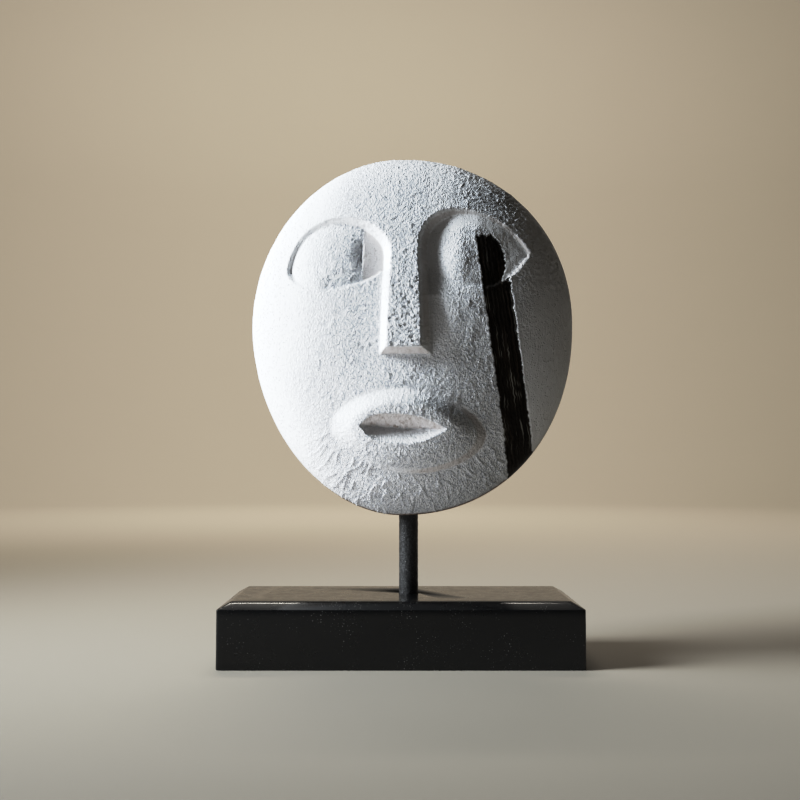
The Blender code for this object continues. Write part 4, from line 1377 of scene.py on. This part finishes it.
def white_paint(colour, wood):
    """Thick chalky paint: stippled and strung out in the middle, brushed out at the sides, with shade
    painted into its pits and brown painted into some hollows as shade.
    """
    f = Finish("chalky_white_paint")
    at = f.object_place()
    bare_and_shade = f.value("bare_and_shade")
    pit_shade = coat_of_paint(f, at, f.value("rough"))
    # The pits are painted darker and cooler as shade.
    tone = f.mixed(f.times(pit_shade, 0.8), colour, dyed(colour, 0.62, 0.64, 0.68))
    cloud = f.spread(f.noise(at, 28, 3.0, 0.6), 0.35, 0.75, 0.0, 0.25)
    tone = f.mixed(cloud, tone, dyed(colour, 0.93, 0.935, 0.95))
    # Brown where the paint is thin over the wood; in the hollows named in the brown map this brown is
    # painted shade.
    stained = f.mixed(0.40, colour, wood)
    tone = f.mixed(f.spread(bare_and_shade, 0.05, 0.45, 0.0, 0.8), tone, stained)
    streaky = f.noise(f.scaled(at, (1.0, 0.8, 0.25)), 260, 3.0, 0.6)
    # Where the brown map is high the paint gives way to brown wood; in those hollows this too is painted
    # shade.
    worn = f.spread(f.sum("ADD", bare_and_shade, f.times(streaky, 0.9)), 0.95, 1.35)
    brown = f.mixed(f.noise(at, 420, 3.0, 0.7), wood, dyed(wood, 0.45))
    f.paint(f.mixed(worn, tone, brown), f.blended(worn, 0.88, 0.72), 0.25)
    return f.material


def stripe_wood(colour):
    """Dark stained wood with fine strands along the stripe, a few of them pale: rubbed wood, also
    painted as the reeds' highlights.
    """
    f = Finish("dark_stained_stripe")
    across, upright = f.value("across"), f.value("upright")

    def drawn_out(share_of_length, apart, size, detail=1.0, roughness=0.5):
        """Waves that are drawn out along the stripe."""
        place = f.place(across, f.times(upright, share_of_length), apart)
        return f.noise(place, size, detail, roughness)

    strands = drawn_out(0.06, 0.0, 1500, 3.0, 0.6)
    tone = f.mixed(f.spread(drawn_out(0.03, 0.7, 620), 0.45, 0.75), colour, dyed(colour, 3.0))
    tone = f.mixed(f.spread(strands, 0.55, 0.35), tone, dyed(colour, 0.35))
    # Pale strands: rubbed wood, and painted highlights on the reeds.
    pale = f.spread(drawn_out(0.035, 3.1, 1000), 0.60, 0.70)
    kept = f.spread(drawn_out(0.5, 5.3, 160), 0.40, 0.60)
    tone = f.mixed(f.times(f.times(pale, kept), 0.85), tone, PALE_STRANDS_AND_HIGHLIGHTS)
    f.raise_by(strands, 0.35 * MM)
    f.paint(tone, f.spread(strands, 0.3, 0.7, 0.85, 0.70), 0.18)
    return f.material


def bare_wood(colour):
    """The back and the hollow: brown wood from the gouge, with its grain upright."""
    f = Finish("brown_wood_back")
    at = f.object_place()
    grain = f.noise(f.scaled(at, (1.0, 1.0, 0.07)), 520, 4.0, 0.65, 0.3)
    broad = f.noise(f.scaled(at, (1.0, 1.0, 0.2)), 60, 2.0)
    tone = f.mixed(f.spread(grain, 0.35, 0.7), dyed(colour, 0.55), colour)
    tone = f.mixed(f.spread(broad, 0.4, 0.7, 0.0, 0.5), tone, dyed(colour, 0.6))
    f.raise_by(grain, 0.25 * MM)
    f.paint(tone, f.spread(grain, 0.3, 0.7, 0.85, 0.65), 0.3)
    return f.material


def black_paint(colour):
    """Satin black paint over wood, with faint brush marks, rubs and a few pale specks."""
    f = Finish("satin_black_paint")
    at = f.object_place()
    brushed = f.noise(f.scaled(at, (0.05, 1.0, 1.0)), 900, 3.0, 0.6)
    uneven = f.noise(at, 90, 3.0, 0.6)
    specks = f.spread(f.noise(at, 1100, 0.0), 0.755, 0.79)
    specks = f.times(specks, f.spread(f.noise(at, 40, 1.0), 0.45, 0.65))
    rubs = f.spread(f.noise(f.scaled(at, (0.4, 1.0, 1.0)), 60, 4.0, 0.7), 0.55, 0.8, 0.0, 0.3)
    tone = f.mixed(rubs, colour, dyed(colour, 2.4))
    tone = f.mixed(f.times(specks, 0.5), tone, PALE_SPECKS)
    f.raise_by(f.total((brushed, 0.3), (uneven, 0.7), (specks, 1.0)), 0.12 * MM)
    f.paint(tone, f.spread(uneven, 0.3, 0.7, 0.26, 0.36), 0.15)
    f.shader.inputs["Coat Weight"].default_value = 0.65
    f.shader.inputs["Coat Roughness"].default_value = 0.10
    return f.material


def black_iron(colour):
    """Rough black paint on iron, with pale grit caught in it."""
    f = Finish("rough_black_iron")
    at = f.object_place()
    pitted = f.noise(at, 620, 3.0, 0.65)
    grit = f.spread(f.noise(at, 1500, 1.0), 0.66, 0.74)
    tone = f.mixed(f.spread(pitted, 0.4, 0.75), colour, dyed(colour, 3.0))
    tone = f.mixed(f.times(grit, 0.5), tone, PALE_GRIT)
    f.raise_by(pitted, 0.5 * MM)
    f.paint(tone, f.spread(pitted, 0.3, 0.7, 0.40, 0.62), 0.5)
    return f.material


def pale_floor(colour):
    """A plain pale matt floor."""
    f = Finish("pale_floor")
    cloud = f.noise(f.object_place(), 3.0, 2.0)
    f.paint(f.mixed(cloud, colour, dyed(colour, 0.985)), 0.9, 0.2)
    return f.material


def studio_bowl(finish):
    """A floor that curves up into a wall all round, so that no view shows an edge."""
    profile = [(FLOOR_RADIUS * t, 0.0) for t in np.linspace(0.1, 1.0, 6)]
    for angle in np.linspace(0, math.pi / 2, 13)[1:]:
        r = FLOOR_RADIUS + FLOOR_BEND * math.sin(angle)
        profile.append((r, FLOOR_BEND * (1 - math.cos(angle))))
    profile.append((FLOOR_RADIUS + FLOOR_BEND, WALL_HEIGHT))
    turns = np.arange(96) * 2 * math.pi / 96
    rings = [[(r * math.cos(t), r * math.sin(t), z) for t in turns] for r, z in profile]
    data = loft("studio_floor", rings[::-1], closed_foot=False)
    data.materials.append(finish)
    return add_object("studio_floor", data)


def add_softbox(name, light, power, spread=180.0):
    """A soft light aimed at a point. It returns its object."""
    place, target, size, colour = light
    lamp = bpy.data.lights.new(name, "AREA")
    lamp.shape = "RECTANGLE"
    lamp.size, lamp.size_y = size
    lamp.energy = power
    lamp.color = colour
    lamp.spread = math.radians(spread)
    made = bpy.data.objects.new(name, lamp)
    made.location = place
    made.rotation_euler = (Vector(target) - Vector(place)).to_track_quat("-Z", "Y").to_euler()
    made.visible_camera = False
    bpy.context.scene.collection.objects.link(made)
    return made


def set_contrast(scene):
    """Deepens the shadows a little and lets the brightest parts level off, as a photograph does."""
    view = scene.view_settings
    view.view_transform = "Standard"
    view.use_curve_mapping = True
    view.curve_mapping.white_level = (BRIGHTEST, BRIGHTEST, BRIGHTEST)
    curve = view.curve_mapping.curves[3]
    for given, shown in CONTRAST:
        curve.points.new(given / BRIGHTEST, shown)
    curve.points[-1].location = (1.0, BRIGHTEST_SHOWN)
    view.curve_mapping.update()


def colour_setting(name, description, default):
    """A setting for one colour."""
    return FloatVectorProperty(
        name=name, description=description, subtype="COLOR", size=3, min=0.0, max=1.0, default=default
    )


def length_setting(name, description, default):
    """A setting for one length."""
    return FloatProperty(name=name, description=description, unit="LENGTH", default=default)


def power_setting(name, description, default):
    """A setting for the power of one light."""
    return FloatProperty(name=name, description=description, unit="POWER", default=default)


class MaskSettings(bpy.types.PropertyGroup):
    """The finishes of the mask."""

    paint: colour_setting("Paint", "Colour of the chalky paint", (0.84, 0.85, 0.87))
    wood: colour_setting("Wood", "Colour of the wood where it is bare", (0.23, 0.14, 0.085))
    stripe: colour_setting("Stripe", "Colour of the stained stripe", (0.012, 0.009, 0.007))


class StandSettings(bpy.types.PropertyGroup):
    """The sizes and finishes of the rod and the block."""

    block_width: length_setting("Block Width", "Width of the block", BLOCK_SIZE[0])
    block_depth: length_setting("Block Depth", "Depth of the block from front to back", BLOCK_SIZE[1])
    block_height: length_setting("Block Height", "Height of the block", BLOCK_SIZE[2])
    slope_inset: length_setting("Slope Inset", "How far in the slope round the top runs", 0.0085)
    slope_drop: length_setting("Slope Drop", "How far down the slope round the top runs", 0.0045)
    rounding: length_setting("Arris Rounding", "Radius to which the arrises are rubbed down", 0.0007)
    hammered: length_setting("Unevenness", "Depth of the dents in the rod", 0.00030)
    black: colour_setting("Black Paint", "Colour of the block's paint", (0.0055, 0.0059, 0.0066))
    iron: colour_setting("Iron", "Colour of the rod's paint", (0.014, 0.014, 0.015))


class StageSettings(bpy.types.PropertyGroup):
    """The floor and the light."""

    floor: colour_setting("Floor", "Colour of the floor", (0.33, 0.305, 0.268))
    key_power: power_setting("Key Light", "Power of the light from the left", 9.2)
    bounce_power: power_setting("Bounce Light", "Power of the light from below", 0.64)
    wall_power: power_setting("Wall Light", "Power of the light on the wall", 132.0)
    fill: FloatProperty(
        name="Fill Light",
        description="Strength of the light from all round",
        default=0.034,
    )


class MASK_OT_carve_mask(bpy.types.Operator):
    """Make the carved and painted mask"""

    bl_idname = "mask_stand.carve_mask"
    bl_label = "Carve Mask"

    def execute(self, context):
        settings = context.scene.carved_mask
        paint, wood, stripe = tuple(settings.paint), tuple(settings.wood), tuple(settings.stripe)
        finishes = (white_paint(paint, wood), stripe_wood(stripe), bare_wood(wood))
        mask = make_mask(finishes)
        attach(mask, "root")
        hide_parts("mask")
        return {"FINISHED"}


class MASK_OT_make_rod(bpy.types.Operator):
    """Make the iron rod"""

    bl_idname = "mask_stand.make_rod"
    bl_label = "Make Rod"

    def execute(self, context):
        settings = context.scene.mask_stand
        rod = make_rod(settings.hammered, black_iron(tuple(settings.iron)))
        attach(rod, "root")
        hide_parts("rod")
        return {"FINISHED"}


class MASK_OT_make_block(bpy.types.Operator):
    """Make the wooden block"""

    bl_idname = "mask_stand.make_block"
    bl_label = "Make Block"

    def execute(self, context):
        s = context.scene.mask_stand
        block = make_block(
            s.block_width,
            s.block_depth,
            s.block_height,
            s.slope_inset,
            s.slope_drop,
            s.rounding,
            black_paint(tuple(s.black)),
        )
        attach(block, "root")
        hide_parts("base_block")
        return {"FINISHED"}


class MASK_OT_set_stage(bpy.types.Operator):
    """Set the floor, the lights and the camera"""

    bl_idname = "mask_stand.set_stage"
    bl_label = "Set Stage"

    def execute(self, context):
        settings = context.scene.mask_stage
        scene = context.scene
        floor = studio_bowl(pale_floor(tuple(settings.floor)))
        add_softbox("window", WINDOW, settings.key_power, WINDOW_SPREAD)
        bounce = add_softbox("table_bounce", TABLE_BOUNCE, settings.bounce_power)
        bounce.visible_glossy = False
        add_softbox("wall_wash", WALL_WASH, settings.wall_power)
        world = bpy.data.worlds.new("studio")
        world.use_nodes = True
        sky = world.node_tree.nodes["Background"]
        sky.inputs["Color"].default_value = FILL_COLOUR
        sky.inputs["Strength"].default_value = settings.fill
        scene.world = world
        camera = bpy.data.objects.new("camera", bpy.data.cameras.new("camera"))
        camera.location = CAMERA_PLACE
        camera.rotation_euler = (CAMERA_TILT, 0.0, 0.0)
        camera.data.lens = CAMERA_LENS
        camera.data.sensor_width = SENSOR_WIDTH
        scene.collection.objects.link(camera)
        scene.camera = camera
        set_contrast(scene)
        return {"FINISHED"}


class MASK_PT_panel(bpy.types.Panel):
    """The steps that make the mask and its stand"""

    bl_label = "Mask on a Stand"
    bl_idname = "MASK_PT_panel"
    bl_space_type = "VIEW_3D"
    bl_region_type = "UI"
    bl_category = "Mask"

    def draw(self, context):
        for owner in (context.scene.carved_mask, context.scene.mask_stand, context.scene.mask_stage):
            box = self.layout.box()
            for name in owner.__annotations__:
                box.prop(owner, name)
        for operator in OPERATORS:
            self.layout.operator(operator.bl_idname)


SETTINGS = (MaskSettings, StandSettings, StageSettings)
OPERATORS = (MASK_OT_carve_mask, MASK_OT_make_rod, MASK_OT_make_block, MASK_OT_set_stage)


def register():
    """Registers the classes and puts the settings on the scene."""
    for cls in (*SETTINGS, *OPERATORS, MASK_PT_panel):
        bpy.utils.register_class(cls)
    bpy.types.Scene.carved_mask = PointerProperty(type=MaskSettings)
    bpy.types.Scene.mask_stand = PointerProperty(type=StandSettings)
    bpy.types.Scene.mask_stage = PointerProperty(type=StageSettings)


def unregister():
    """Takes the settings off the scene and unregisters the classes."""
    del bpy.types.Scene.mask_stage
    del bpy.types.Scene.mask_stand
    del bpy.types.Scene.carved_mask
    for cls in (MASK_PT_panel, *reversed(OPERATORS), *reversed(SETTINGS)):
        bpy.utils.unregister_class(cls)


def main():
    """Makes every piece and the stage."""
    register()
    bpy.ops.mask_stand.carve_mask()
    bpy.ops.mask_stand.make_rod()
    bpy.ops.mask_stand.make_block()
    bpy.ops.mask_stand.set_stage()


if __name__ == "__main__":
    main()
